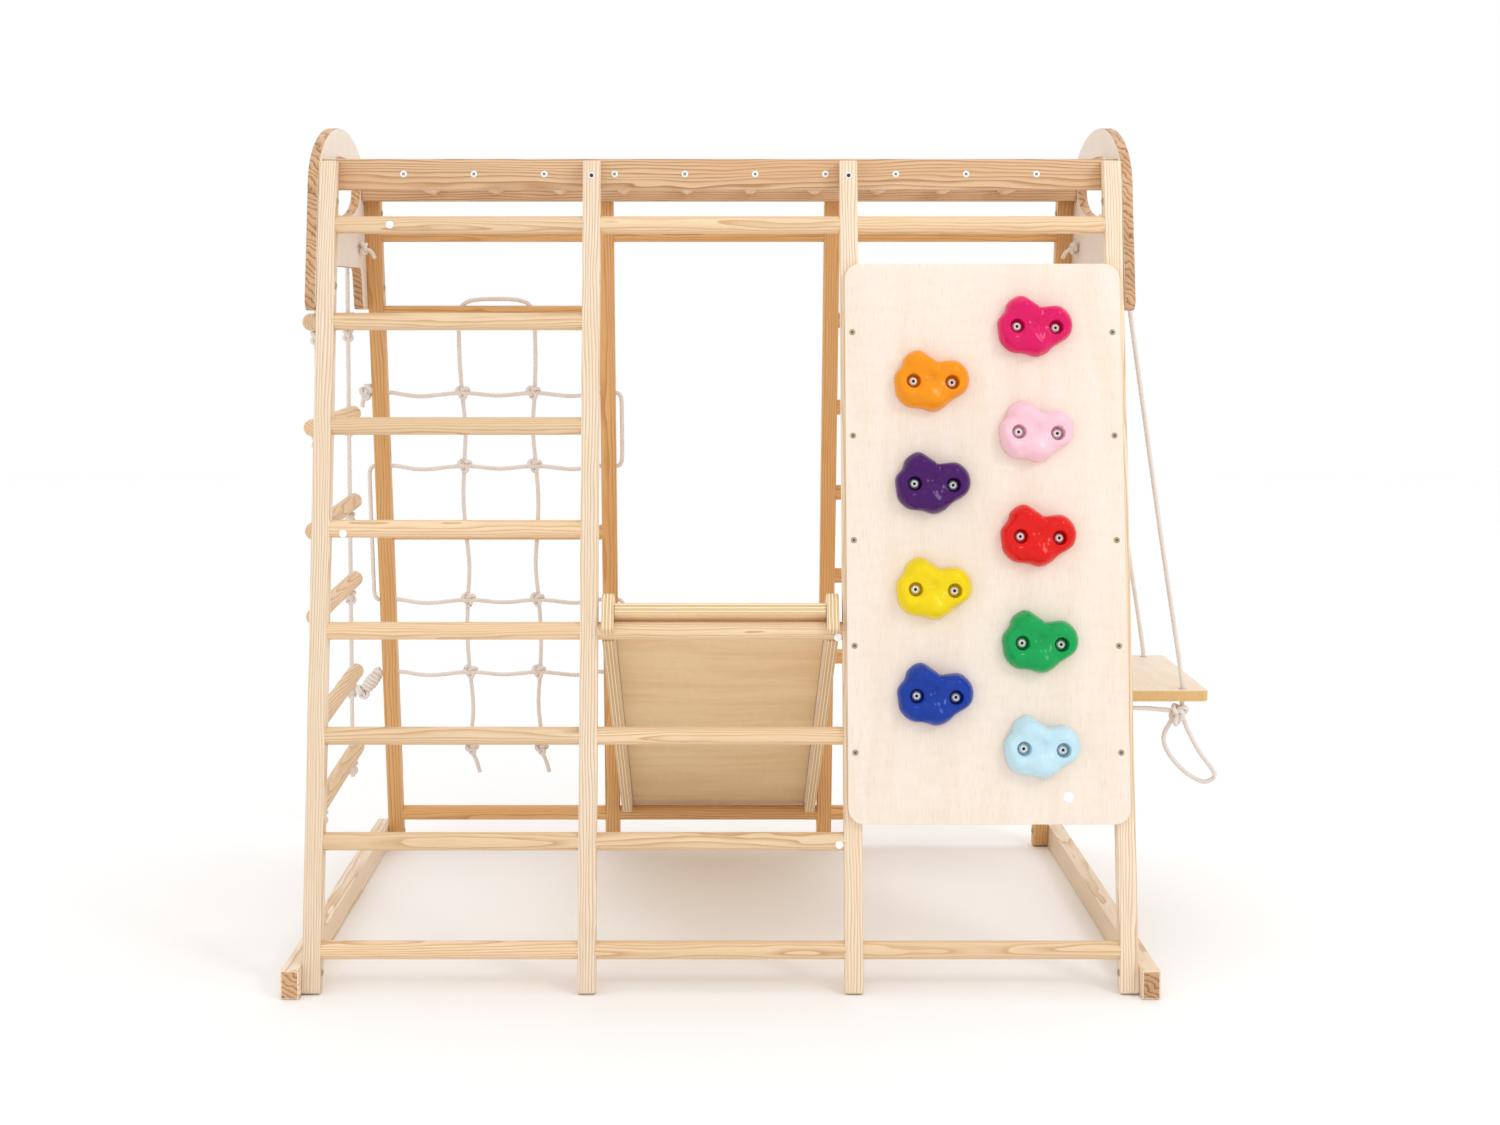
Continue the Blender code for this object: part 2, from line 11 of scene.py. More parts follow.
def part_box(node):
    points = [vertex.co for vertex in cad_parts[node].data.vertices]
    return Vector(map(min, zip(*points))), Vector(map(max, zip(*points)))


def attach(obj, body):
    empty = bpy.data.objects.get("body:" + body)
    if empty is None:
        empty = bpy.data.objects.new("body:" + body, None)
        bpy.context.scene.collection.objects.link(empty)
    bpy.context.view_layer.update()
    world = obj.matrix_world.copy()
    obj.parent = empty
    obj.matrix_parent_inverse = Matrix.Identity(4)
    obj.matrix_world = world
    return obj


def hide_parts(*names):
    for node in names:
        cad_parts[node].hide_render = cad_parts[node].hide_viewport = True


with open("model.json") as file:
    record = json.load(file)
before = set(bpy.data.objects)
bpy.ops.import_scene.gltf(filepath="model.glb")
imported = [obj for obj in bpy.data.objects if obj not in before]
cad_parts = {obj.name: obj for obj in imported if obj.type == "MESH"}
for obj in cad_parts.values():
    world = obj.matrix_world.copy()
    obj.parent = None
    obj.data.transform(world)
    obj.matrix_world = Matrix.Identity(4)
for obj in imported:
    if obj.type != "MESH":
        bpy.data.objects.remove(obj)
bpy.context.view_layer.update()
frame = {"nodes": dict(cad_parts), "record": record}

# Places that come from the frame
POSTS = [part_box(f"front_post_{number}") for number in (1, 2, 3, 4)]
POST_X = [(low[0] + high[0]) / 2 for low, high in POSTS]
POST = POSTS[0][1][0] - POSTS[0][0][0]
POST_TOP = POSTS[0][1][2]
FOOT_Y = -POSTS[0][0][1]
SLOPE = 0.162
LEAN = atan(SLOPE)
JOINTS = {joint["name"]: joint for joint in frame["record"]["behaviour"]["joints"]}
SWING_PIVOT = Vector(JOINTS["swing_sway"]["pos_m"])
LADDER_PIVOT = Vector(JOINTS["rope_ladder_sway"]["pos_m"])
RAMP_PIVOT = Vector(JOINTS["ramp_lift"]["pos_m"])
GABLE_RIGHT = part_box("gable_right")
GABLE_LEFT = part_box("gable_left")
FACES = (-1, "front"), (1, "back")
MIDDLE_X = (GABLE_RIGHT[1][0] + GABLE_LEFT[0][0]) / 2

UP = Vector((0, 0, 1))
RIGHT = Vector((1, 0, 0))
BACK = Vector((0, 1, 0))
RUNG_RADIUS = 0.014
GAP = 0.0003
PANEL_THICKNESS = 0.012
ROPE_RADIUS = 0.0039
LAY = 0.026


# Shader helpers

class Shader:
    """A short way to build a node tree."""

    def __init__(self, name):
        self.material = bpy.data.materials.new(name)
        self.material.use_nodes = True
        self.tree = self.material.node_tree
        self.out = self.tree.nodes["Principled BSDF"]
        self.here = self.node("TexCoord", output=3)

    def feed(self, socket, value):
        if isinstance(value, bpy.types.NodeSocket):
            self.tree.links.new(value, socket)
        elif value is not None:
            socket.default_value = value

    def node(self, kind, inputs=(), output=0, **settings):
        made = self.tree.nodes.new("ShaderNode" + kind)
        for key, value in settings.items():
            setattr(made, key, value)
        for key, value in dict(inputs).items():
            self.feed(made.inputs[key], value)
        return made.outputs[output]

    def maths(self, operation, first, second=None, third=None):
        return self.node("Math", {0: first, 1: second, 2: third}, operation=operation)

    def times(self, first, second):
        return self.maths("MULTIPLY", first, second)

    def vector(self, operation, first, second):
        return self.node("VectorMath", {0: first, 1: second}, operation=operation)

    def plus(self, first, second):
        return self.maths("ADD", first, second)

    def fit(self, value, scale, shift):
        return self.maths("MULTIPLY_ADD", value, scale, shift)

    def fract(self, value):
        return self.maths("FRACT", value)

    def edge_mask(self, low, high):
        """White on a board's edges and black on its faces."""
        across = self.maths("ABSOLUTE", self.node("SeparateXYZ", {0: self.node("TexCoord", output=1)}, 2))
        return self.ramp(across, [(low, WHITE), (high, BLACK)])

    def stretch(self, vector, scale):
        return self.vector("MULTIPLY", vector, scale)

    def finish(self, colour, roughness, bump=None):
        """Feeds the surface and gives back its material."""
        self.feed(self.out.inputs["Base Color"], colour)
        self.feed(self.out.inputs["Roughness"], roughness)
        self.feed(self.out.inputs["Normal"], bump)
        return self.material

    def mix(self, factor, first, second, blend="MIX"):
        made = self.tree.nodes.new("ShaderNodeMix")
        made.data_type = "RGBA"
        made.blend_type = blend
        self.feed(made.inputs[0], factor)
        for socket, value in ((6, first), (7, second)):
            self.feed(made.inputs[socket], (*value, 1) if isinstance(value, tuple) else value)
        return made.outputs[2]

    def ramp(self, factor, stops, smooth=False):
        made = self.tree.nodes.new("ShaderNodeValToRGB")
        ramp = made.color_ramp
        ramp.interpolation = "EASE" if smooth else "LINEAR"
        while len(ramp.elements) < len(stops):
            ramp.elements.new(0.5)
        for element, (place, colour) in zip(ramp.elements, stops):
            element.position = place
            element.color = (*colour, 1)
        self.feed(made.inputs[0], factor)
        return made.outputs[0]

    def noise(self, vector, scale=1.0, detail=2.0, roughness=0.5, output=0):
        """Noise; three scales stretch it along X, Y and Z."""
        if isinstance(scale, tuple):
            vector, scale = self.stretch(vector, scale), 1.0
        inputs = {"Vector": vector, "Scale": scale, "Detail": detail, "Roughness": roughness}
        return self.node("TexNoise", inputs, output)

    def bump(self, height, distance, strength):
        return self.node("Bump", {"Height": height, "Distance": distance, "Strength": strength})

    def place(self):
        """Object coordinates, shifted by a different amount on each piece."""
        luck = self.node("ObjectInfo", output=5)
        sideways = self.fract(self.times(luck, 7.31))
        deeper = self.fract(self.times(luck, 3.77))
        shift = self.node("CombineXYZ", {
            0: self.times(luck, 9.7),
            1: self.fit(sideways, 0.05, 0.012),
            2: self.fit(deeper, -0.06, 0.03),
        })
        return self.vector("ADD", self.here, shift), luck


BLACK = (0.0, 0.0, 0.0)
WHITE = (1.0, 1.0, 1.0)


def pine(name, pale, mid, dark, ring=0.0045, depth=1.0, stripes=None):
    """Pine sawn along local X: growth rings about a pith outside the piece, fibres and resin flecks."""
    s = Shader(name)
    place, luck = s.place()
    slow = s.noise(place, (2.2, 14, 14), 3.0, 0.55, output=1)
    wander = s.stretch(s.vector("SUBTRACT", slow, (0.5, 0.5, 0.5)), (0.0, 0.03, 0.03))
    flat = s.stretch(s.vector("ADD", place, wander), (0.0, 1.0, 1.0))
    distance = s.node("VectorMath", {0: flat}, output=1, operation="LENGTH")
    jitter = s.noise(place, (3, 60, 60), 2.0)
    rings = s.plus(s.maths("DIVIDE", distance, ring), s.times(jitter, 0.55))
    saw = s.fract(rings)
    late = s.ramp(saw, [(0.0, BLACK), (0.45, (0.1,) * 3), (0.8, (0.62,) * 3), (0.93, (1.0,) * 3),
                        (1.0, BLACK)])
    fibre = s.noise(place, (16, 620, 620), 3.0, 0.6)
    cloud = s.noise(place, (3.5, 22, 22), 2.0)
    grain = s.times(late, s.fit(cloud, 1.6, 0.1 + 0.1 * depth))
    tone = s.mix(s.times(grain, depth), pale, dark)
    tone = s.mix(s.ramp(cloud, [(0.38, BLACK), (0.7, (0.55,) * 3)], True), tone, mid)
    streak = s.ramp(fibre, [(0.3, (0.84, 0.79, 0.72)), (0.56, WHITE), (0.8, (1.05, 1.04, 1.02))])
    tone = s.mix(0.55, tone, streak, "MULTIPLY")
    own = s.fit(luck, 0.12, 0.94)
    tone = s.node("HueSaturation", {"Color": tone, "Value": own})
    if stripes:
        tone = end_stripes(s, place, tone, stripes)
    height = s.plus(s.times(late, 0.4), s.times(fibre, 0.6))
    s.out.inputs["Specular IOR Level"].default_value = 0.42
    return s.finish(tone, s.fit(fibre, 0.22, 0.38), s.bump(height, 0.00022, 0.55))


def end_stripes(s, place, tone, stripes):
    """Where a board's edge cuts across the rings, they show as thin, slightly slanting dark lines."""
    on_edge = s.edge_mask(0.55, 0.85)
    slant = s.node("VectorMath", {0: place, 1: (100.0, 30.0, 62.0)}, output=1, operation="DOT_PRODUCT")
    wobble = s.noise(place, 38.0, 3.0)
    band = s.fract(s.plus(slant, s.times(wobble, 3.4)))
    shade = s.ramp(band, [(0.0, stripes[2]), (0.16, stripes[1]), (0.42, stripes[0]), (0.86, stripes[0]),
                          (1.0, stripes[2])])
    cloud = s.noise(place, 16.0, 2.0)
    shade = s.mix(0.5, shade, s.ramp(cloud, [(0.35, (0.62, 0.55, 0.48)), (0.6, WHITE)]), "MULTIPLY")
    return s.mix(on_edge, tone, shade)


def plywood(name, face, fleck, plies, thickness, fine=1.0, band=None):
    """Birch ply: local X runs with the face grain, local Z through the plies."""
    s = Shader(name)
    place, _ = s.place()
    swirl = s.noise(place, (2, 5, 2), 2.0, 0.5, output=1)
    drift = s.stretch(s.vector("SUBTRACT", swirl, (0.5, 0.5, 0.5)), (0.0, 0.16, 0.0))
    bent = s.vector("ADD", place, drift)
    broad = s.noise(bent, (3, 26, 3), 4.0, 0.62)
    flecks = s.noise(place, (42, 420, 60), 3.0, 0.62)
    ripple = s.noise(place, (90, 24, 10), 2.0)
    tone = s.mix(s.ramp(broad, [(0.36, BLACK), (0.68, (0.7,) * 3)], True), face, fleck)
    marks = s.ramp(flecks, [(0.3, (0.8, 0.73, 0.63)), (0.43, (0.97, 0.95, 0.93)), (0.6, WHITE)])
    tone = s.mix(0.38 * fine, tone, marks, "MULTIPLY")
    tone = s.mix(0.25, tone, s.ramp(ripple, [(0.35, (0.93, 0.9, 0.86)), (0.6, WHITE)]), "MULTIPLY")
    depth = s.node("SeparateXYZ", {0: s.here}, output=2)
    wave = s.times(s.noise(s.here, (30, 30, 4), 2.0), 0.35)
    layer = s.plus(s.fit(depth, plies / thickness, 50.5), wave)
    pair = s.fract(s.times(layer, 0.5))
    glue = s.fract(layer)
    edge = s.ramp(pair, [(0.0, (0.92, 0.77, 0.54)), (0.48, (0.9, 0.74, 0.5)), (0.52, (0.7, 0.46, 0.22)),
                         (0.97, (0.74, 0.5, 0.25))])
    line = s.ramp(glue, [(0.0, (0.3, 0.19, 0.1)), (0.14, WHITE), (0.86, WHITE), (1.0, (0.3, 0.19, 0.1))])
    edge = s.mix(0.9, edge, line, "MULTIPLY")
    if band:
        darker = tuple(part * 0.82 for part in band)
        edge = s.mix(broad, band, darker)
        edge = s.mix(0.5, edge, marks, "MULTIPLY")
    on_edge = s.edge_mask(0.45, 0.75)
    height = s.plus(flecks, s.times(broad, 0.6))
    s.out.inputs["Specular IOR Level"].default_value = 0.4
    roughness = s.fit(flecks, 0.2, 0.4)
    return s.finish(s.mix(on_edge, tone, edge), roughness, s.bump(height, 0.00015, 0.5))


def moulded(name, colour):
    """Glossy moulded resin with a faint orange peel and slightly mottled pigment."""
    s = Shader(name)
    mottle = s.noise(s.here, 34.0, 3.0)
    darker = tuple(part * 0.86 for part in colour)
    peel = s.noise(s.here, 420.0, 2.0)
    height = s.plus(peel, s.times(s.noise(s.here, 60.0, 2.0), 2.0))
    s.out.inputs["Specular IOR Level"].default_value = 0.22
    roughness = s.fit(peel, 0.12, 0.13)
    return s.finish(s.mix(mottle, colour, darker), roughness, s.bump(height, 0.0002, 0.35))


def cotton(name, colour):
    s = Shader(name)
    fuzz = s.noise(s.here, 1500.0, 3.0, 0.7)
    patch = s.noise(s.here, 45.0, 3.0)
    low = tuple(part * 0.8 for part in colour)
    tone = s.mix(s.ramp(fuzz, [(0.32, BLACK), (0.62, WHITE)]), low, colour)
    tone = s.mix(0.4, tone, s.ramp(patch, [(0.35, (0.92, 0.88, 0.84)), (0.6, WHITE)]), "MULTIPLY")
    s.out.inputs["Sheen Weight"].default_value = 0.25
    s.out.inputs["Sheen Roughness"].default_value = 0.6
    s.out.inputs["Specular IOR Level"].default_value = 0.2
    return s.finish(tone, 0.93, s.bump(fuzz, 0.0004, 0.7))


def zinc(name, colour, roughness, metallic=0.3):
    """Plated steel with fine scuffs."""
    s = Shader(name)
    scuff = s.noise(s.here, (900, 120, 900), 3.0)
    darker = tuple(part * 0.75 for part in colour)
    s.out.inputs["Metallic"].default_value = metallic
    rough = s.fit(scuff, 0.2, roughness - 0.1)
    return s.finish(s.mix(scuff, colour, darker), rough, s.bump(scuff, 0.00006, 0.5))


def paper(name):
    s = Shader(name)
    pulp = s.noise(s.here, 700.0, 2.0)
    white = s.mix(pulp, (0.93, 0.93, 0.92), (0.86, 0.86, 0.85))
    return s.finish(white, s.fit(pulp, 0.2, 0.45))


# The looks of each timber: pale, middle and dark wood, ring width, depth of grain, end stripes
PINES = {
    "front_post_pine": ((0.86, 0.725, 0.57), (0.81, 0.64, 0.45), (0.56, 0.34, 0.165)),
    # back_post_pine is the post pine made darker and more orange: painted shade for the back posts and
    # back rungs inside the frame
    "back_post_pine": ((0.77, 0.45, 0.19), (0.7, 0.375, 0.135), (0.47, 0.215, 0.065)),
    "rung_pine": ((0.83, 0.625, 0.41), (0.775, 0.55, 0.33), (0.54, 0.295, 0.12), 0.004),
    "rail_pine": ((0.72, 0.49, 0.295), (0.65, 0.39, 0.205), (0.4, 0.2, 0.085), 0.0046, 1.35),
    "edge_pine": ((0.86, 0.795, 0.725), (0.84, 0.745, 0.64), (0.74, 0.57, 0.4), 0.006, 0.7,
                  ((0.64, 0.395, 0.215), (0.54, 0.29, 0.13), (0.27, 0.115, 0.042))),
}
# And of each plywood: face, flecks, plies, thickness, strength of the flecks, painted edge
PLYWOODS = {
    "birch_plywood": ((0.87, 0.76, 0.665), (0.83, 0.7, 0.575), 7, 0.019),
    "ramp_plywood": ((0.9, 0.68, 0.41), (0.8, 0.545, 0.285), 6, 0.018, 0.7),
    "seat_board": ((0.86, 0.745, 0.61), (0.81, 0.66, 0.49), 5, 0.018, 1.0, (0.78, 0.5, 0.21)),
}
MATERIALS = {name: pine(name, *looks) for name, looks in PINES.items()}
MATERIALS |= {name: plywood(name, *looks) for name, looks in PLYWOODS.items()}
MATERIALS |= {
    "rope": cotton("rope", (0.86, 0.78, 0.72)),
    "zinc_fastener": zinc("zinc_fastener", (0.97, 0.97, 0.96), 0.3),
    "blank_sticker": paper("blank_sticker"),
}
SOCKET_SHADE = zinc("socket_shade", (0.035, 0.035, 0.035), 0.6)
BRONZE = zinc("bronze_screw", (0.46, 0.4, 0.25), 0.35)
BRIGHT_ZINC = zinc("bright_zinc", (0.96, 0.96, 0.95), 0.55, 0.25)


# Mesh helpers

def turn(x_axis, z_axis):
    """The rotation whose X is the grain and whose Z is the face of a board."""
    x = Vector(x_axis).normalized()
    z = Vector(z_axis)
    z = (z - z.project(x)).normalized()
    return Matrix((x, z.cross(x), z)).transposed()


def add(name, data):
    """A new object in the scene."""
    made = bpy.data.objects.new(name, data)
    bpy.context.scene.collection.objects.link(made)
    return made


def baked(item):
    """The mesh of an object with its modifiers or curve applied; the object is removed."""
    mesh = bpy.data.meshes.new_from_object(item.evaluated_get(bpy.context.evaluated_depsgraph_get()))
    bpy.data.objects.remove(item, do_unlink=True)
    return mesh


def mesh_of(name, bm):
    mesh = bpy.data.meshes.new(name)
    bm.to_mesh(mesh)
    bm.free()
    return mesh


def settle(name, bm, material, rotation=None, origin=(0, 0, 0), stands_for=(), sharp=35, body="frame"):
    """Makes a bmesh into a piece of one body whose own X runs along its grain."""
    matrix = (rotation or Matrix.Identity(3)).to_4x4()
    matrix.translation = Vector(origin)
    bm.transform(matrix.inverted())
    bmesh.ops.recalc_face_normals(bm, faces=bm.faces)
    mesh = mesh_of(name, bm)
    mesh.shade_smooth()
    mesh.set_sharp_from_angle(angle=radians(sharp))
    made = add(name, mesh)
    made.matrix_world = matrix
    bpy.context.view_layer.update()
    mesh.materials.append(MATERIALS[material])
    if stands_for:
        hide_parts(*stands_for)
    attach(made, body)
    return made


def soften(bm, width, angle=30, segments=2):
    """Rounds every edge that is sharper than an angle."""
    bmesh.ops.recalc_face_normals(bm, faces=bm.faces)
    edges = [e for e in bm.edges if len(e.link_faces) == 2 and e.calc_face_angle(0) > radians(angle)]
    bmesh.ops.bevel(bm, geom=edges, offset=width, segments=segments, affect="EDGES", profile=0.6,
                    clamp_overlap=True)


def prism(outline, offset):
    bm = bmesh.new()
    face = bm.faces.new([bm.verts.new(point) for point in outline])
    swept = bmesh.ops.extrude_face_region(bm, geom=[face])
    moved = [v for v in swept["geom"] if isinstance(v, bmesh.types.BMVert)]
    bmesh.ops.translate(bm, verts=moved, vec=offset)
    return bm


def basis(direction):
    """A direction and two others at right angles to it."""
    along = Vector(direction).normalized()
    across = along.orthogonal().normalized()
    return along, across, along.cross(across)


def around(count):
    """Evenly spaced angles of a whole turn."""
    return [2 * pi * step / count for step in range(count)]


def flat_ring(bm, centre, across, other, radii):
    """A ring of vertices about a centre, one for each radius."""
    spokes = [across * cos(angle) + other * sin(angle) for angle in around(len(radii))]
    return [bm.verts.new(centre + spoke * radius) for spoke, radius in zip(spokes, radii)]


def skin(bm, pairs):
    """Quads between pairs of rings."""
    for low, high in pairs:
        for step in range(len(low)):
            after = (step + 1) % len(low)
            bm.faces.new((low[step], low[after], high[after], high[step]))


def fan(bm, ring, tip):
    """Closes a ring on a point."""
    for step in range(len(ring)):
        bm.faces.new((ring[step], ring[(step + 1) % len(ring)], tip))


def lathe(bm, start, direction, profile, sides=32):
    """Turns (distance along, radius) points about a line; a radius of 0 closes an end."""
    along, across, other = basis(direction)
    rings = []
    for distance, radius in profile:
        centre = Vector(start) + along * distance
        if radius == 0:
            rings.append([bm.verts.new(centre)])
        else:
            rings.append(flat_ring(bm, centre, across, other, [radius] * sides))
    for low, high in zip(rings, rings[1:]):
        if len(low) == 1:
            fan(bm, high, low[0])
        elif len(high) == 1:
            fan(bm, low, high[0])
        else:
            skin(bm, [(low, high)])


def dowel(name, start, along, length, spin, origin, material="rung_pine", stands_for=(), body="frame",
          chamfer=0.0012):
    """A turned dowel with chamfered ends."""
    bm = bmesh.new()
    seat = RUNG_RADIUS - chamfer
    lathe(bm, start, along, [(0, 0), (0, seat), (chamfer, RUNG_RADIUS), (length - chamfer, RUNG_RADIUS),
                             (length, seat), (length, 0)], 36)
    settle(name, bm, material, spin, origin, stands_for, body=body)


def leaning_y(side, height, depth=0.0):
    return side * (FOOT_Y - SLOPE * height - depth / cos(LEAN))


def lean_axis(side):
    """Up along the posts of one side."""
    return Vector((0, -side * sin(LEAN), cos(LEAN)))


def outward(side):
    return Vector((0, side * cos(LEAN), sin(LEAN)))


def arc(centre, radius, first, last, steps, rise=None):
    """Points from one angle to another in degrees, on a circle or, with a rise, on an ellipse."""
    points = []
    for step in range(steps + 1):
        angle = radians(first + (last - first) * step / steps)
        points.append((centre[0] + radius * cos(angle), centre[1] + (rise or radius) * sin(angle)))
    return points


def rounded(low, high, radius, steps=8):
    """The outline of a rectangle with round corners."""
    left, bottom, right, top = low[0] + radius, low[1] + radius, high[0] - radius, high[1] - radius
    points = []
    for number, corner in enumerate(((right, top), (left, top), (left, bottom), (right, bottom))):
        points += arc(corner, radius, 90 * number, 90 * number + 90, steps)
    return points


def board(name, loops, thickness, edge, place, material, body="frame", stands_for=(), grain=None):
    """A board from outlines in its own plane, laid in place. Loops after the first are holes."""
    curve = bpy.data.curves.new(name + "_outline", "CURVE")
    curve.dimensions = "2D"
    curve.fill_mode = "BOTH"
    curve.extrude = thickness / 2 - edge
    curve.bevel_depth = edge
    curve.bevel_resolution = 2
    curve.offset = -edge
    for loop in loops:
        spline = curve.splines.new("POLY")
        spline.points.add(len(loop) - 1)
        for target, (x, y) in zip(spline.points, loop):
            target.co = (x, y, 0, 1)
        spline.use_cyclic_u = True
    bm = bmesh.new()
    bm.from_mesh(baked(add(name + "_outline", curve)))
    bmesh.ops.remove_doubles(bm, verts=bm.verts, dist=0.00002)
    bm.transform(place)
    rotation = place.to_3x3()
    if grain is not None:
        rotation = turn(grain, rotation.col[2])
    return settle(name, bm, material, rotation, place.translation, stands_for, 50, body)


def plane(origin, x_axis, y_axis):
    """The matrix that lays a board's own X and Y along two directions."""
    x, y = Vector(x_axis).normalized(), Vector(y_axis).normalized()
    matrix = Matrix((x, y, x.cross(y))).transposed().to_4x4()
    matrix.translation = Vector(origin)
    return matrix


# Timber frame

def leaning_prism(side, profile, left, width):
    """A prism along X through points given as height and depth behind the posts' faces."""
    ring = [(left, leaning_y(side, height, depth), height) for height, depth in profile]
    return prism(ring, (width, 0, 0))


def make_posts():
    toe = 0.01
    profile = (
        (toe, 0), (toe * 0.3, toe * 0.25), (0, toe), (0, POST - toe), (toe * 0.3, POST - toe * 0.25),
        (toe, POST), (POST_TOP, POST), (POST_TOP, 0),
    )
    for side, face in FACES:
        for number, x in enumerate(POST_X, 1):
            bm = leaning_prism(side, profile, x - POST / 2, POST)
            soften(bm, 0.0016, 60)
            node = f"{face}_post_{number}"
            middle = (x, leaning_y(side, POST_TOP / 2, POST / 2), POST_TOP / 2)
            grain = turn(lean_axis(side), outward(side))
            # The back posts get back_post_pine, whose darker colour is painted shade
            settle(f"{node}_timber", bm, f"{face}_post_pine", grain, middle, (node,))


def make_rungs():
    """Every bay gets its own turned dowel, whose ends are seated in the posts."""
    for node in sorted(n for n in frame["nodes"] if "_rung_" in n):
        side = -1 if node.startswith("front") else 1
        low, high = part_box(node)
        height = (low[2] + high[2]) / 2
        y = leaning_y(side, height, POST / 2)
        posts = [x for x in POST_X if low[0] - 0.002 < x < high[0] + 0.002]
        # The back rungs get back_post_pine, whose darker colour is painted shade
        material = "rung_pine" if side < 0 else "back_post_pine"
        for bay, (near, far) in enumerate(zip(posts, posts[1:]), 1):
            start = (near + POST / 2 - 0.003, y, height)
            spin = turn(RIGHT, Vector((0, sin(bay + 9 * height), cos(bay + 9 * height))))
            origin = ((near + far) / 2, y, height)
            dowel(f"{node}_bay_{bay}", start, RIGHT, far - near - POST + 0.006, spin, origin, material,
                  (node,) if bay == 1 else ())


def make_monkey_bars():
    low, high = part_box("monkey_bar_ladder")
    bottom, top = low[2], high[2]
    near, far = POST + GAP, 2 * POST
    profile = ((bottom, near), (bottom, far), (top, far), (top, near))
    for side, face in FACES:
        bm = leaning_prism(side, profile, low[0], high[0] - low[0])
        soften(bm, 0.0022)
        middle = (MIDDLE_X, leaning_y(side, (top + bottom) / 2, 1.5 * POST), (top + bottom) / 2)
        stands = ("monkey_bar_ladder",) if side < 0 else ()
        settle(f"monkey_rail_{face}", bm, "rail_pine", turn(RIGHT, outward(side)), middle, stands)
    height = (top + bottom) / 2
    reach = -leaning_y(-1, height, 1.4 * POST)
    for number in range(BAR_COUNT):
        x = bar_x(number)
        spin = turn(BACK, Vector((sin(number * 2.1), 0, cos(number * 2.1))))
        dowel(f"monkey_bar_{number + 1}", (x, -reach, height), BACK, 2 * reach, spin, (x, 0, height))


def gable_loops(rope_y):
    """Outline, handle hole and rope holes in (y, z)."""
    low, high = GABLE_RIGHT
    spring, crossbar, leg, toe = 1.243, 1.124, 0.08, 0.013
    half, foot, top = FOOT_Y - SLOPE * spring, low[2], high[2]
    outline = arc((0, spring), half, 0, 180, 48, top - spring)
    outer = FOOT_Y - SLOPE * foot
    left = [(-outer + SLOPE * -toe, foot + toe)]
    left += arc((-outer + toe, foot + toe), toe, 180, 270, 5)[1:]
    left += arc((-outer + leg - toe, foot + toe), toe, 270, 360, 5)
    inner_top = FOOT_Y - SLOPE * crossbar - leg
    fillet = 0.016
    left += arc((-inner_top + fillet, crossbar - fillet), fillet, 180, 90, 5)
    outline += left + [(-y, z) for y, z in reversed(left)]
    handle = arc((0, 1.26), 0.158, 0, 352.5, 47, 0.05)
    holes = [arc((y, HANG_HOLE), 0.0052, 0, 345, 15) for y in (-rope_y, rope_y)]
    return [outline, handle] + holes


LADDER_ROPE_Y = 0.14
SWING_ROPE_Y = 0.147
SEAT_HOLE_REACH = 0.1045
HANG_HOLE = 1.16


def make_gables():
    gables = ("gable_left", GABLE_LEFT, LADDER_ROPE_Y), ("gable_right", GABLE_RIGHT, SWING_ROPE_Y)
    for name, (low, high), rope_y in gables:
        place = plane(((low[0] + high[0]) / 2, 0, 0), BACK, UP)
        loops = gable_loops(rope_y)
        board(f"{name}_board", loops, high[0] - low[0], 0.0018, place, "edge_pine", "frame", (name,), UP)


SAWN_INSET = 0.0024


def make_runners():
    for name in ("runner_left", "runner_right"):
        low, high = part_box(name)
        ring = [(low[1], low[2]), (high[1], low[2]), (high[1], high[2]), (low[1], high[2])]
        bm = prism([(low[0], y, z) for y, z in ring], (high[0] - low[0], 0, 0))
        soften(bm, 0.0024, segments=3)
        middle = ((low[0] + high[0]) / 2, 0, (low[2] + high[2]) / 2)
        settle(f"{name}_timber", bm, "front_post_pine", turn(BACK, RIGHT), middle, (name,))
        # A thin sawn face with slanting rings, let into each end
        inmost = high[0] - SAWN_INSET, high[2] - SAWN_INSET
        ring = rounded((low[0] + SAWN_INSET, low[2] + SAWN_INSET), inmost, 0.001, 3)
        for side, face in FACES:
            y = side * (high[1] - GAP)
            bm = prism([(x, y, z) for x, z in ring], (0, side * 0.0005, 0))
            settle(f"{name}_end_{face}", bm, "edge_pine", turn(UP, RIGHT), (0, y, 0))


# Climbing panel

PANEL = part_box("climbing_panel")
PANEL_UP = lean_axis(-1)
PANEL_OUT = outward(-1)


def panel_point(x, height, standoff):
    """A point over the front faces of the posts; standoff is how far it lies out from them."""
    return Vector((x, leaning_y(-1, height, -standoff), height))


def make_panel():
    low, high = PANEL
    bottom, top = low[2], high[2] - PANEL_THICKNESS * sin(LEAN)
    length = (top - bottom) / cos(LEAN)
    width = high[0] - low[0]
    middle = panel_point((low[0] + high[0]) / 2, (bottom + top) / 2, PANEL_THICKNESS / 2 + GAP)
    outline = rounded((-width / 2, -length / 2), (width / 2, length / 2), 0.025, 10)
    board("climbing_panel_board", [outline], PANEL_THICKNESS, 0.0011, plane(middle, RIGHT, PANEL_UP),
          "birch_plywood", "frame", ("climbing_panel",), PANEL_UP)


# The outline of a hold in metres, right and up from its middle.
HOLD_OUTLINE = (
    (-0.0194, 0.0485), (0.0005, 0.036), (0.0095, 0.0305), (0.037, 0.0325), (0.0538, 0.0191),
    (0.059, 0.0009), (0.0523, -0.0173), (0.0309, -0.0309), (0.0172, -0.043), (0.0005, -0.0485),
    (-0.0178, -0.0436),
    (-0.0392, -0.0405), (-0.0544, -0.0264), (-0.0581, -0.0097), (-0.0585, 0.0085), (-0.0478, 0.0236),
    (-0.0438, 0.0358), (-0.0331, 0.0455),
)
HOLD_RECESSES = ((-0.0305, -0.002), (0.03, -0.0042))
HOLD_DEPTH = 0.034
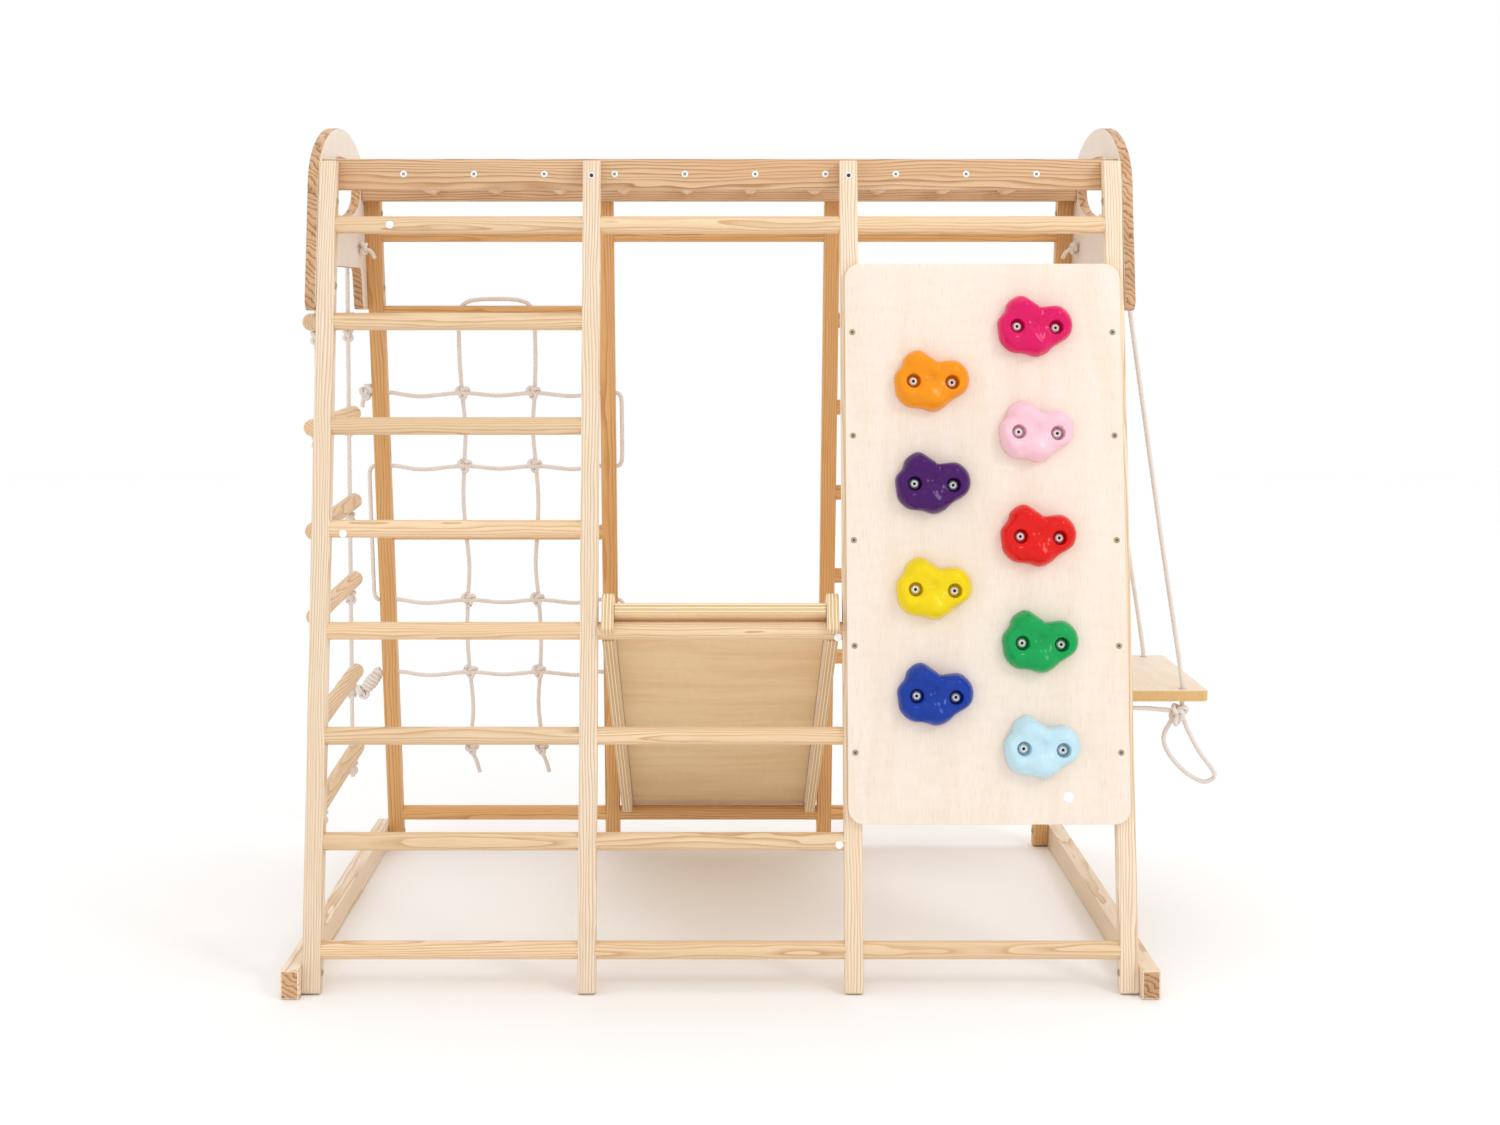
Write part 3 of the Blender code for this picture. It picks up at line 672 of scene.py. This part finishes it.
# Swellings and hollows on the top of a hold: right, up, size and height.
HOLD_LUMPS = (
    (-0.022, 0.03, 0.015, 0.0085), (0.034, 0.018, 0.014, 0.0055), (0.004, -0.034, 0.015, 0.0065),
    (-0.041, -0.024, 0.012, 0.005), (0.000, 0.004, 0.01, -0.0085), (-0.008, -0.014, 0.011, 0.0045),
    (0.042, -0.016, 0.01, 0.004), (-0.018, 0.012, 0.009, -0.004), (0.014, 0.02, 0.009, -0.005),
    (-0.028, -0.034, 0.008, -0.005), (0.022, -0.026, 0.008, -0.0045), (0.05, 0.004, 0.008, 0.003),
)
HOLD_RIPPLE = 0.0011
HOLD_RIM = 0.0022
# Rings from a hold's rim to its middle, as shares of the way out
HOLD_SHARES = (1, 0.992, 0.975, 0.95, 0.915, 0.87, 0.81, 0.74, 0.66, 0.575, 0.485, 0.39, 0.295, 0.2, 0.105)
RECESS_FLOOR = 0.0085
RECESS_PROFILE = (
    (0, 0), (0, 0.0092), (0.0015, 0.0104), (0.022, 0.0118), (0.03, 0.0132), (0.05, 0.015), (0.05, 0),
)


def on_curve(p0, p1, p2, p3, t):
    """A point between p1 and p2 on the Catmull-Rom curve through four points."""
    return 0.5 * (2 * p1 + (p2 - p0) * t + (2 * p0 - 5 * p1 + 4 * p2 - p3) * t * t
                  + (3 * p1 - p0 - 3 * p2 + p3) * t * t * t)


def smooth_loop(points, per_span):
    """A closed Catmull-Rom curve through a loop's own points."""
    ring = []
    for index in range(len(points)):
        four = [Vector(points[(index + k) % len(points)]) for k in (-1, 0, 1, 2)]
        ring += [on_curve(*four, step / per_span) for step in range(per_span)]
    return ring


def hold_height(point, share):
    """Height of a hold's skin over a point that lies at a share of the way out to the rim."""
    dome = HOLD_DEPTH * 0.8 * (1 - share ** 7.0) ** 0.52
    lump = sum(height * exp(-((point.x - x) ** 2 + (point.y - y) ** 2) / (size * size))
               for x, y, size, height in HOLD_LUMPS)
    lump += HOLD_RIPPLE * noise.noise(Vector((point.x, point.y, 0)) * 95)
    dip = sum(0.005 * exp(-((hypot(point.x - x, point.y - y) / 0.015) ** 4))
              for x, y in HOLD_RECESSES)
    return max(0.0, dome + (lump - dip) * min(1.0, 1.6 * (1 - share ** 4)))


def hold_mesh():
    ring = smooth_loop(HOLD_OUTLINE, 6)
    bm = bmesh.new()
    floor = [bm.verts.new((p.x * 0.975, p.y * 0.975, 0)) for p in ring]
    rings = [floor]
    for share in HOLD_SHARES:
        layer = []
        for p in ring:
            spot = Vector((p.x * share, p.y * share))
            rise = HOLD_RIM if share == 1.0 else HOLD_RIM + hold_height(spot, share)
            layer.append(bm.verts.new((spot.x, spot.y, rise)))
        rings.append(layer)
    skin(bm, zip(rings, rings[1:]))
    centre = bm.verts.new((0, 0, HOLD_RIM + hold_height(Vector((0, 0)), 0.0)))
    fan(bm, rings[-1], centre)
    bm.faces.new(list(reversed(floor)))
    bmesh.ops.recalc_face_normals(bm, faces=bm.faces)
    body = add("hold_body", mesh_of("hold_body", bm))
    bm = bmesh.new()
    for x, y in HOLD_RECESSES:
        lathe(bm, (x, y, RECESS_FLOOR), UP, RECESS_PROFILE, 40)
    bmesh.ops.recalc_face_normals(bm, faces=bm.faces)
    tool = add("hold_tool", mesh_of("hold_tool", bm))
    cut = body.modifiers.new("Recess", "BOOLEAN")
    cut.operation = "DIFFERENCE"
    cut.solver = "EXACT"
    cut.object = tool
    result = baked(body)
    bpy.data.objects.remove(tool, do_unlink=True)
    return result


HOLD_COLOURS = {
    "hold_orange": (0.9, 0.3, 0.002), "hold_purple": (0.06, 0.004, 0.12),
    "hold_yellow": (0.88, 0.66, 0.001), "hold_blue": (0.004, 0.04, 0.34),
    "hold_magenta": (0.74, 0.004, 0.125), "hold_pink": (0.95, 0.59, 0.68),
    "hold_red": (0.76, 0.006, 0.004), "hold_green": (0.002, 0.36, 0.085),
    "hold_light_blue": (0.55, 0.78, 0.88),
}


def make_holds():
    shape = hold_mesh()
    for name, colour in HOLD_COLOURS.items():
        MATERIALS[name] = moulded(name, colour)
        low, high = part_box(name)
        height = (low[2] + high[2]) / 2 - 0.5 * HOLD_DEPTH * sin(LEAN)
        place = plane(panel_point((low[0] + high[0]) / 2, height, 0.0126), RIGHT, PANEL_UP)
        bm = bmesh.new()
        bm.from_mesh(shape)
        bm.transform(place)
        settle(f"{name}_body", bm, name, place.to_3x3(), place.translation, (name,), 42)
        for number, (right, up) in enumerate(HOLD_RECESSES, 1):
            seat = place @ Vector((right, up, 0.0087))
            socket_screw(f"{name}_bolt_{number}", seat, PANEL_OUT, 0.0074, 0.01, 0.36, BRIGHT_ZINC)


# Fasteners

def cross_radius(angle, arm, half_width):
    """Distance to the edge of a cross-shaped recess in one direction."""
    folded = abs((angle + pi / 4) % (pi / 2) - pi / 4)
    if tan(folded) * arm <= half_width:
        return arm / cos(folded)
    return half_width / sin(folded)


def screw(name, seat, axis, radius, rise, recess_radii, recess_depth, body, metal):
    """A screw head: a shallow dome with a driven recess."""
    axis, across, other = basis(axis)
    count = len(recess_radii)
    seat = Vector(seat)
    bm = bmesh.new()
    mouth = max(max(recess_radii) * 1.12, radius * 0.55)
    levels = [(-0.0006, radius * 0.97), (rise * 0.25, radius), (rise * 0.62, radius * 0.93),
              (rise * 0.92, radius * 0.74), (rise, mouth)]
    rings = [flat_ring(bm, seat + axis * up, across, other, [size] * count) for up, size in levels]
    rings.append(flat_ring(bm, seat + axis * rise, across, other, recess_radii))
    bottom = [size * 0.86 for size in recess_radii]
    rings.append(flat_ring(bm, seat + axis * (rise - recess_depth), across, other, bottom))
    skin(bm, zip(rings, rings[1:]))
    bm.faces.new(rings[-1]).material_index = 1
    bm.faces.new(list(reversed(rings[0])))
    made = settle(name, bm, "zinc_fastener", turn(across, axis), seat, (), 40, body)
    if metal:
        made.data.materials[0] = metal
    made.data.materials.append(SOCKET_SHADE)


def socket_screw(name, seat, axis, radius, rise, share=0.44, metal=None):
    """A head with a hexagon socket, whose half width is a share of the head's radius."""
    radii = [radius * share / cos((angle + pi / 6) % (pi / 3) - pi / 6) for angle in around(36)]
    screw(name, seat, axis, radius, rise, radii, rise * 0.6, "frame", metal)


def cross_screw(name, seat, axis, radius, rise, body="frame", metal=None):
    radii = [cross_radius(angle, radius * 0.56, radius * 0.13) for angle in around(48)]
    screw(name, seat, axis, radius, rise, radii, rise * 0.7, body, metal)


PANEL_SCREW_TOP, PANEL_SCREW_PITCH = 1.016, 0.1622
RAIL_BOLT_HEIGHT = 1.266
SIDE_BOLT_HEIGHTS = (1.225, 1.09, 0.03)
BAR_COUNT, BAR_PITCH = 10, 0.1137


def bar_x(number):
    return MIDDLE_X + (number - (BAR_COUNT - 1) / 2) * BAR_PITCH


def make_fasteners():
    for column, x in (("left", POST_X[2] + 0.003), ("right", POST_X[3] - 0.0087)):
        for number in range(5):
            seat = panel_point(x, PANEL_SCREW_TOP - number * PANEL_SCREW_PITCH, PANEL_THICKNESS + GAP)
            label = f"panel_screw_{column}_{number + 1}"
            cross_screw(label, seat, PANEL_OUT, 0.0048, 0.0011, metal=BRONZE)
    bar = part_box("monkey_bar_ladder")
    middle = (bar[0][2] + bar[1][2]) / 2
    for side, face in FACES:
        for number in range(BAR_COUNT):
            seat = (bar_x(number), leaning_y(side, middle, POST + GAP), middle)
            cross_screw(f"bar_screw_{face}_{number + 1}", seat, outward(side), 0.0056, 0.0014)
        for number in (1, 2):
            seat = (POST_X[number], leaning_y(side, RAIL_BOLT_HEIGHT), RAIL_BOLT_HEIGHT)
            socket_screw(f"rail_bolt_{face}_{number + 1}", seat, outward(side), 0.0054, 0.0014, 0.6)
        for number, inward in ((0, 1), (3, -1)):
            for height in SIDE_BOLT_HEIGHTS:
                seat = (POST_X[number] + inward * POST / 2, leaning_y(side, height, POST / 2), height)
                label = f"side_bolt_{face}_{number + 1}_{round(height * 1000)}"
                socket_screw(label, seat, RIGHT * inward, 0.0058, 0.0022, metal=BRONZE)


# Blank dots on the rungs: x, the rung's height and the dot's height
RUNG_DOTS = (
    (POST_X[1] - 0.322, 1.187, 1.187), (POST_X[0] + 0.036, 0.706, 0.7),
    (POST_X[2] - 0.022, 0.548, 0.54), (POST_X[2] - 0.022, 0.227, 0.225),
)


def make_stickers():
    """Blank paper dots."""
    spots = [(panel_point(PANEL[1][0] - 0.096, 0.3, PANEL_THICKNESS + GAP), PANEL_OUT)]
    for x, rung, height in RUNG_DOTS:
        spots.append((Vector((x, leaning_y(-1, rung, POST / 2) - RUNG_RADIUS, height)), -BACK))
    for number, (spot, axis) in enumerate(spots, 1):
        bm = bmesh.new()
        size = 0.0085 if number == 1 else 0.0062
        lathe(bm, spot - axis * GAP, axis, [(0, 0), (0, size), (0.0006, size - 0.0002), (0.0006, 0)], 40)
        settle(f"blank_dot_{number}", bm, "blank_sticker", turn(axis.orthogonal(), axis), spot)


# Ramp

RAMP_REST_HEIGHT = 0.068
RAMP_HALF_WIDTH = 0.186
RAMP_RAIL = 0.019


def make_ramp():
    start = Vector((RAMP_PIVOT.y, RAMP_PIVOT.z))
    end = Vector((leaning_y(1, RAMP_REST_HEIGHT, POST / 2), RAMP_REST_HEIGHT))
    length = (end - start).length
    down = Vector((0, *(end - start) / length))
    off = Vector((0, -down.z, down.y))
    hinge = Vector((MIDDLE_X, RAMP_PIVOT.y, RAMP_PIVOT.z))
    front, back, foot, top, corner = -0.032, length + 0.021, -0.012, 0.055, 0.016
    hook = 0.0146
    outline = arc((front + 0.005, foot + 0.005), 0.005, 180, 270, 3) + [(-hook, foot)]
    outline += arc((0, 0), hook, 180, 0, 16)
    outline += [(hook, foot), (length - 0.036, foot), (length - 0.036, hook), (back, hook)]
    outline += arc((back - corner, top - corner), corner, 0, 90, 6)
    outline += arc((front + corner, top - corner), corner, 90, 180, 6)
    for side, name in ((-1, "ramp_rail_left"), (1, "ramp_rail_right")):
        place = plane(hinge + RIGHT * side * (RAMP_HALF_WIDTH - RAMP_RAIL / 2), down, off)
        board(f"{name}_board", [outline], RAMP_RAIL, 0.0015, place, "birch_plywood", "ramp", (name,))
    half = RAMP_HALF_WIDTH - RAMP_RAIL - GAP
    place = plane(hinge + off * 0.027, down, RIGHT)
    deck = rounded((-0.026, -half), (length + 0.016, half), 0.002, 3)
    board("ramp_deck_board", [deck], 0.018, 0.0012, place, "ramp_plywood", "ramp", ("ramp_deck",), RIGHT)
    for side in (-1, 1):
        for number, share in enumerate((0.06, 0.36, 0.66, 0.94), 1):
            spot = hinge + RIGHT * side * RAMP_HALF_WIDTH + down * (length * share) + off * 0.027
            label = f"ramp_screw_{'left' if side < 0 else 'right'}_{number}"
            cross_screw(label, spot, RIGHT * side, 0.004, 0.0006, "ramp")


# Rope

def smooth_route(points, spacing):
    """Evenly spaced points on a smooth curve through the route's own points."""
    route = [Vector(point) for point in points]
    route = [2 * route[0] - route[1]] + route + [2 * route[-1] - route[-2]]
    dense = []
    for four in zip(route, route[1:], route[2:], route[3:]):
        dense += [on_curve(*four, step / 24) for step in range(24)]
    dense.append(route[-2])
    along = [0, *accumulate((b - a).length for a, b in zip(dense, dense[1:]))]
    count = max(3, round(along[-1] / spacing))
    picked, index = [], 0
    for step in range(count + 1):
        target = along[-1] * step / count
        while index < len(along) - 2 and along[index + 1] < target:
            index += 1
        span = max(along[index + 1] - along[index], 1e-9)
        picked.append(dense[index].lerp(dense[index + 1], (target - along[index]) / span))
    return picked


def laid_rope(bm, points, closed=False, sides=15):
    """Three strands twisted about a line: a tube with three lobes that turn along it."""
    count = len(points)
    tangents = []
    for index in range(count):
        if closed:
            step = points[(index + 1) % count] - points[index - 1]
        else:
            step = points[min(index + 1, count - 1)] - points[max(index - 1, 0)]
        tangents.append(step.normalized())
    across = tangents[0].orthogonal().normalized()
    walked, rings = 0.0, []
    for index, (point, tangent) in enumerate(zip(points, tangents)):
        if index:
            walked += (point - points[index - 1]).length
            across = (across - across.project(tangent)).normalized()
        other = tangent.cross(across)
        twist = 2 * pi * walked / LAY
        lobes = [abs(sin(1.5 * (angle - twist))) for angle in around(sides)]
        reaches = [ROPE_RADIUS * (0.8 + 0.24 * lobe ** 0.7) for lobe in lobes]
        rings.append(flat_ring(bm, point, across, other, reaches))
    skin(bm, list(zip(rings, rings[1:])) + ([(rings[-1], rings[0])] if closed else []))
    if not closed:
        for end, sign in ((0, -1), (-1, 1)):
            fan(bm, rings[end], bm.verts.new(points[end] + tangents[end] * sign * ROPE_RADIUS * 0.35))


def settle_rope(name, bm, body, origin, stands_for=()):
    return settle(name, bm, "rope", None, origin, stands_for, 180, body)


def rope(node, route, body):
    """The laid rope that stands for a CAD rope."""
    points = smooth_route(route, 0.003)
    bm = bmesh.new()
    laid_rope(bm, points)
    made = settle_rope(f"{node}_laid", bm, body, points[0], (node,))


KNOT_STEPS = 84


def tie(bm, centre, facing, upright, width, thickness=1.35, phase=0.0):
    """Lays a pulled-up overhand knot."""
    facing, upright = Vector(facing).normalized(), Vector(upright).normalized()
    side = upright.cross(facing)
    unit = width / 6
    line = []
    for angle in around(KNOT_STEPS):
        t = angle + phase
        a = sin(t) + 2 * sin(2 * t)
        b = cos(t) - 2 * cos(2 * t)
        c = -sin(3 * t) * thickness
        line.append(Vector(centre) + (side * a + upright * b + facing * c) * unit)
    laid_rope(bm, line, True, 12)


def knots(name, places, body, width=0.021):
    """One piece with a pulled-up overhand knot at each (centre, facing, upright)."""
    bm = bmesh.new()
    for number, (centre, facing, upright) in enumerate(places):
        tie(bm, centre, facing, upright, width, phase=number * 0.9)
    return settle_rope(name, bm, body, places[0][0])


def hang_stub(name, side, x, y, inner_face, pivot):
    """From the stopper knot inside a gable, through the hole and down its outer face to the pivot."""
    inner = inner_face - side * 0.012
    bm = bmesh.new()
    over = (-0.009, 0), (-0.002, 0.003), (0.0004, 0.013), (0, 0.026)
    route = [(inner, y, HANG_HOLE - 0.002), (inner_face, y, HANG_HOLE)]
    route += [(x + side * out, y, HANG_HOLE - drop) for out, drop in over] + [(x, y, pivot.z)]
    laid_rope(bm, smooth_route(route, 0.003))
    centre = (inner_face - side * 0.0085, y, HANG_HOLE)
    tie(bm, centre, (side, 0, 0), UP, 0.019, thickness=0.9)
    if y > 0:
        end = [(inner, y, HANG_HOLE - 0.002), (inner - side * 0.009, y + 0.002, HANG_HOLE - 0.007),
               (inner - side * 0.015, y + 0.004, HANG_HOLE - 0.018)]
        laid_rope(bm, smooth_route(end, 0.003))
    settle_rope(name, bm, "frame", (x, y, HANG_HOLE))


def make_rope_ladder():
    dowels = sorted((n for n in frame["nodes"] if n.startswith("rope_ladder_dowel")))
    x = LADDER_PIVOT.x
    slants = []
    for number, node in enumerate(dowels):
        low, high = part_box(node)
        height, length = (low[2] + high[2]) / 2, high[1] - low[1]
        rise = max(high[2] - low[2] - 2 * RUNG_RADIUS, 0.0)
        slants.append((height, rise / length))
        along = Vector((0, length, rise)).normalized()
        start = (x, low[1], height - rise / 2)
        spin = turn(BACK, Vector((sin(number * 1.7), 0, cos(number * 1.7))))
        dowel(f"{node}_turned", start, along, length, spin, (x, 0, height), "rung_pine", (node,),
              "rope_ladder", 0.002)
    for side, end in FACES:
        y = side * LADDER_ROPE_Y
        crossings = [height + slope * y for height, slope in slants]
        places = [((x, y, height - 0.0255), (0.9, -0.4, 0), UP) for height in crossings]
        tied = knots(f"rope_ladder_knots_{end}", places, "rope_ladder")
        top, low = LADDER_PIVOT.z - 0.002, crossings[-1] - 0.042
        route = [(x, y, top + (low - top) * step / 8) for step in range(9)]
        rope(f"rope_ladder_rope_{end}", route, "rope_ladder")
        hang_stub(f"rope_ladder_stub_{end}", -1, x, y, GABLE_LEFT[1][0], LADDER_PIVOT)


SWING_TOP = SWING_PIVOT.z - 0.002
INNER, OUTER = -SEAT_HOLE_REACH, SEAT_HOLE_REACH
# The swing's ropes: right of the pivot, back from the rope's hole, and height
SWING_INNER = (
    (0, -0.0046, SWING_TOP), (-0.0282, -0.0046, 0.93), (-0.0687, -0.003, 0.66), (INNER + 0.003, 0, 0.4505),
    (INNER, 0, 0.4105), (INNER + 0.005, 0, 0.393), (INNER + 0.022, 0, 0.386), (INNER + 0.06, 0, 0.387),
    (0.0345, 0, 0.3885), (0.085, 0, 0.385),
)
SWING_OUTER = (
    (0, 0.0046, SWING_TOP), (0.0282, 0.0046, 0.93), (0.0687, 0.003, 0.66), (OUTER - 0.003, 0, 0.4505),
    (OUTER, 0, 0.4105), (OUTER, 0, 0.3855),
)
SWING_LOOP = (
    (OUTER + 0.006, -0.004, 0.36), (0.1315, -0.01, 0.318), (0.1545, -0.008, 0.287),
    (0.158, -0.002, 0.272), (0.1405, 0.004, 0.264), (0.1095, 0.008, 0.282), (0.0845, 0.01, 0.312),
    (0.0765, 0.009, 0.338), (0.085, 0.008, 0.36), (0.096, 0.004, 0.378),
)
SWING_TAIL = (OUTER - 0.003, 0.004, 0.372), (OUTER - 0.01, 0.01, 0.358)


def make_swing():
    low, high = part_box("swing_seat")
    px = SWING_PIVOT.x
    holes = []
    for x in (INNER, OUTER):
        for y in (-SWING_ROPE_Y, SWING_ROPE_Y):
            holes.append(arc((x, y), 0.006, 0, 345, 15))
    outline = rounded((low[0] - px, low[1]), (high[0] - px, high[1]), 0.01, 8)
    place = plane((px, 0, (low[2] + high[2]) / 2), RIGHT, BACK)
    board("swing_seat_board", [outline] + holes, high[2] - low[2], 0.0022, place, "seat_board",
          "swing", ("swing_seat",), BACK)
    for side, end in FACES:
        y = side * SWING_ROPE_Y

        def placed(steps):
            return [(px + across, y + back, height) for across, back, height in steps]

        crown = knots(f"swing_crown_knot_{end}", [((px, y, SWING_TOP - 0.018), BACK, UP)], "swing", 0.02)
        low_knots = placed(((OUTER - 0.006, -0.002, low[2] - 0.02), (OUTER - 0.009, 0, low[2] - 0.026)))
        facings = ((0.2, -1, 0.2), (0.3, 0, 1)), ((0.9, 0.3, 0.4), (0, 0.2, 1))
        tied = [(spot, *ways) for spot, ways in zip(low_knots, facings)]
        under = knots(f"swing_seat_knot_{end}", tied, "swing", 0.028)
        rope(f"swing_rope_{end}_inner", placed(SWING_INNER), "swing")
        free = SWING_LOOP if end == "front" else SWING_TAIL
        rope(f"swing_rope_{end}_outer", placed(SWING_OUTER + free), "swing")
        hang_stub(f"swing_stub_{end}", 1, px, y, GABLE_RIGHT[0][0], SWING_PIVOT)


NET_WARP = (POST_X[1] - 0.272, POST_X[1] - 0.137)
NET_WARP_DEPTH = 0.0105
NET_WEFT_DEPTH = 0.0193
NET_WEFT = (0.895, 0.757, 0.498, 0.355)
NET_BARS = (0.226, 0.629, 1.043)


def net_point(x, height, depth):
    return (x, leaning_y(1, height, depth), height)


def make_net():
    left, right = NET_WARP
    posts = POST_X[:2]

    def warp(x, height):
        return net_point(x, height, NET_WARP_DEPTH)

    def weft(x, height):
        return net_point(x, height, NET_WEFT_DEPTH)

    facing = outward(1) * -1
    middle_depth = (NET_WARP_DEPTH + NET_WEFT_DEPTH) / 2 + 0.002
    crossings = []
    for height in NET_WEFT:
        for number, x in enumerate(NET_WARP):
            aside = 0.002 * (-1) ** number
            crossings.append((net_point(x + aside, height + 0.001, middle_depth), facing, UP))
    weft_knots = knots("net_crossing_knots", crossings, "frame", 0.023)
    feet = [(warp(x, NET_BARS[0] - 0.027), facing, UP) for x in NET_WARP]
    warp_knots = knots("net_bar_knots", feet, "frame", 0.022)

    stops = sorted((*NET_BARS, *NET_WEFT, NET_BARS[0] - 0.03))

    def upright(x, lean):
        """Up one side of the net, bowing a little between knots and curling out at its cut end."""
        points = [warp(x + 0.014, NET_BARS[0] - 0.075), warp(x + 0.008, NET_BARS[0] - 0.053)]
        for number, height in enumerate(stops):
            points.append(warp(x, height))
            if number < len(stops) - 1 and stops[number + 1] - height > 0.06:
                bow = lean * (0.0045 if number % 2 else -0.003)
                points.append(warp(x + bow, (height + stops[number + 1]) / 2))
        return points

    high = NET_BARS[-1] + 0.012
    peaks = (left + 0.018, 0.01), ((left + right) / 2, 0.014), (right - 0.018, 0.01)
    over = [warp(x, high + up) for x, up in peaks]
    route = upright(left, 1) + over + upright(right, -1)[::-1]
    rope("net_rope_upright", route, "frame")

    def crossing(height, forwards):
        """Across the net, sagging a little between the posts and the knots."""
        sags = (
            (posts[0] - 0.0165, 0), (posts[0] - 0.004, 0), (posts[0] + 0.012, 0), (posts[0] + 0.026, 0),
            ((posts[0] + left) / 2, 0.0065), (left, 0), ((left + right) / 2, 0.005), (right, 0),
            ((posts[1] + right) / 2, 0.006), (posts[1] - 0.026, 0), (posts[1] - 0.012, 0),
            (posts[1] + 0.004, 0), (posts[1] + 0.0165, 0),
        )
        points = [weft(x, height - sag) for x, sag in sags]
        return points if forwards else points[::-1]

    def bend(x, upper, lower):
        """Out of one hole, down the post's side and into the next."""
        outwards = 1 if x > (left + right) / 2 else -1
        turning = [(0.0228, 0.005), (0.0252, 0.015), (0.0256, 0.042)]
        above = [weft(x + outwards * out, upper - drop) for out, drop in turning]
        below = [weft(x + outwards * out, lower + drop) for out, drop in turning]
        return above + below[::-1]

    first, last = NET_WEFT[0], NET_WEFT[-1]
    route = crossing(first, True)
    for number, (upper, lower) in enumerate(zip(NET_WEFT, NET_WEFT[1:]), 1):
        route += bend(posts[number % 2], upper, lower) + crossing(lower, number % 2 == 0)
    knot_x = posts[0] - 0.024
    start = knots("net_start_knot", [
        (weft(knot_x + 0.002, first + 0.006), (1, 0.2, 0), UP),
        (weft(knot_x - 0.002, first), (0.3, -1, 0), UP),
    ], "frame", 0.022)
    cut_tail = [(knot_x - 0.01, -0.026), (knot_x - 0.008, -0.014), (knot_x - 0.002, -0.002)]
    route = [weft(x, first + up) for x, up in cut_tail] + route
    route.append(weft(posts[0] - 0.03, last - 0.006))
    finish = stopper("net_end_stopper", weft(posts[0] - 0.038, last - 0.02))
    rope("net_rope_across", route, "frame")


def stopper(name, centre):
    """Rope wound round itself between two knots, leaning down and away from the post."""
    axis, across, other = basis((0.62, 0.05, 0.78))
    radius, turns, length, steps = 0.0098, 5, 0.036, 110
    line = []
    for share in (step / steps for step in range(steps + 1)):
        angle = 2 * pi * turns * share
        swell = radius * (0.72 + 0.28 * sin(pi * share))
        line.append(Vector(centre) + axis * (share - 0.5) * length
                    + (across * cos(angle) + other * sin(angle)) * swell)
    bm = bmesh.new()
    laid_rope(bm, line)
    tie(bm, Vector(centre) - axis * 0.022, (0.5, -0.8, 0.2), UP, 0.026)
    tie(bm, Vector(centre) + axis * 0.02, (0.7, 0.5, 0.2), UP, 0.022, phase=0.7)
    return settle_rope(name, bm, "frame", centre)


# Light and camera

def make_studio():
    size = 9.0
    bm = bmesh.new()
    corners = [(-size, -size, 0), (size, -size, 0), (size, size, 0), (-size, size, 0)]
    bm.faces.new([bm.verts.new(corner) for corner in corners])
    floor = add("studio_floor", mesh_of("studio_floor", bm))
    floor.location.z = -0.0005
    s = Shader("studio_floor")
    distance = s.maths("DIVIDE", s.node("VectorMath", {0: s.here}, 1, operation="LENGTH"), size)
    # The floor is painted lighter away from the frame: painted light that fades its far part into the
    # white backdrop
    tone = s.ramp(distance, [(0.14, (0.93,) * 3), (0.5, (0.99,) * 3)])
    floor.data.materials.append(s.finish(tone, 0.9))
    world = bpy.data.worlds.new("studio")
    world.use_nodes = True
    sky = world.node_tree.nodes["Background"].inputs
    sky[0].default_value = (*WHITE, 1)
    sky[1].default_value = 1.0
    bpy.context.scene.world = world
    bpy.context.scene.view_settings.view_transform = "Standard"
    lamps = (
        ("key", (2.9, -3.2, 3.4), 1.3, 38), ("fill", (-3.0, -3.4, 2.0), 2.6, 10),
        ("top", (0.0, 0.4, 3.6), 2.6, 14),
    )
    for name, spot, width, power in lamps:
        lamp = bpy.data.lights.new(name, "AREA")
        lamp.shape = "DISK"
        lamp.size = width
        lamp.energy = power
        holder = add(name, lamp)
        holder.location = spot
        aim = Vector((0, 0, 0.65)) - Vector(spot)
        holder.rotation_euler = aim.to_track_quat("-Z", "Y").to_euler()


def make_camera():
    camera = bpy.data.cameras.new("camera")
    camera.lens = 46.8
    camera.sensor_width = 36.0
    camera.shift_x = 0.0262
    camera.shift_y = -0.0975
    holder = add("camera", camera)
    holder.location = (MIDDLE_X - 0.015, -3.36, 1.064)
    holder.rotation_euler = (radians(90 - 3.36), 0, 0)
    bpy.context.scene.camera = holder


make_camera()
make_studio()
for make in (
    make_rope_ladder, make_swing, make_net, make_posts, make_rungs, make_monkey_bars, make_gables,
    make_runners, make_panel, make_holds, make_fasteners, make_stickers, make_ramp,
):
    make()
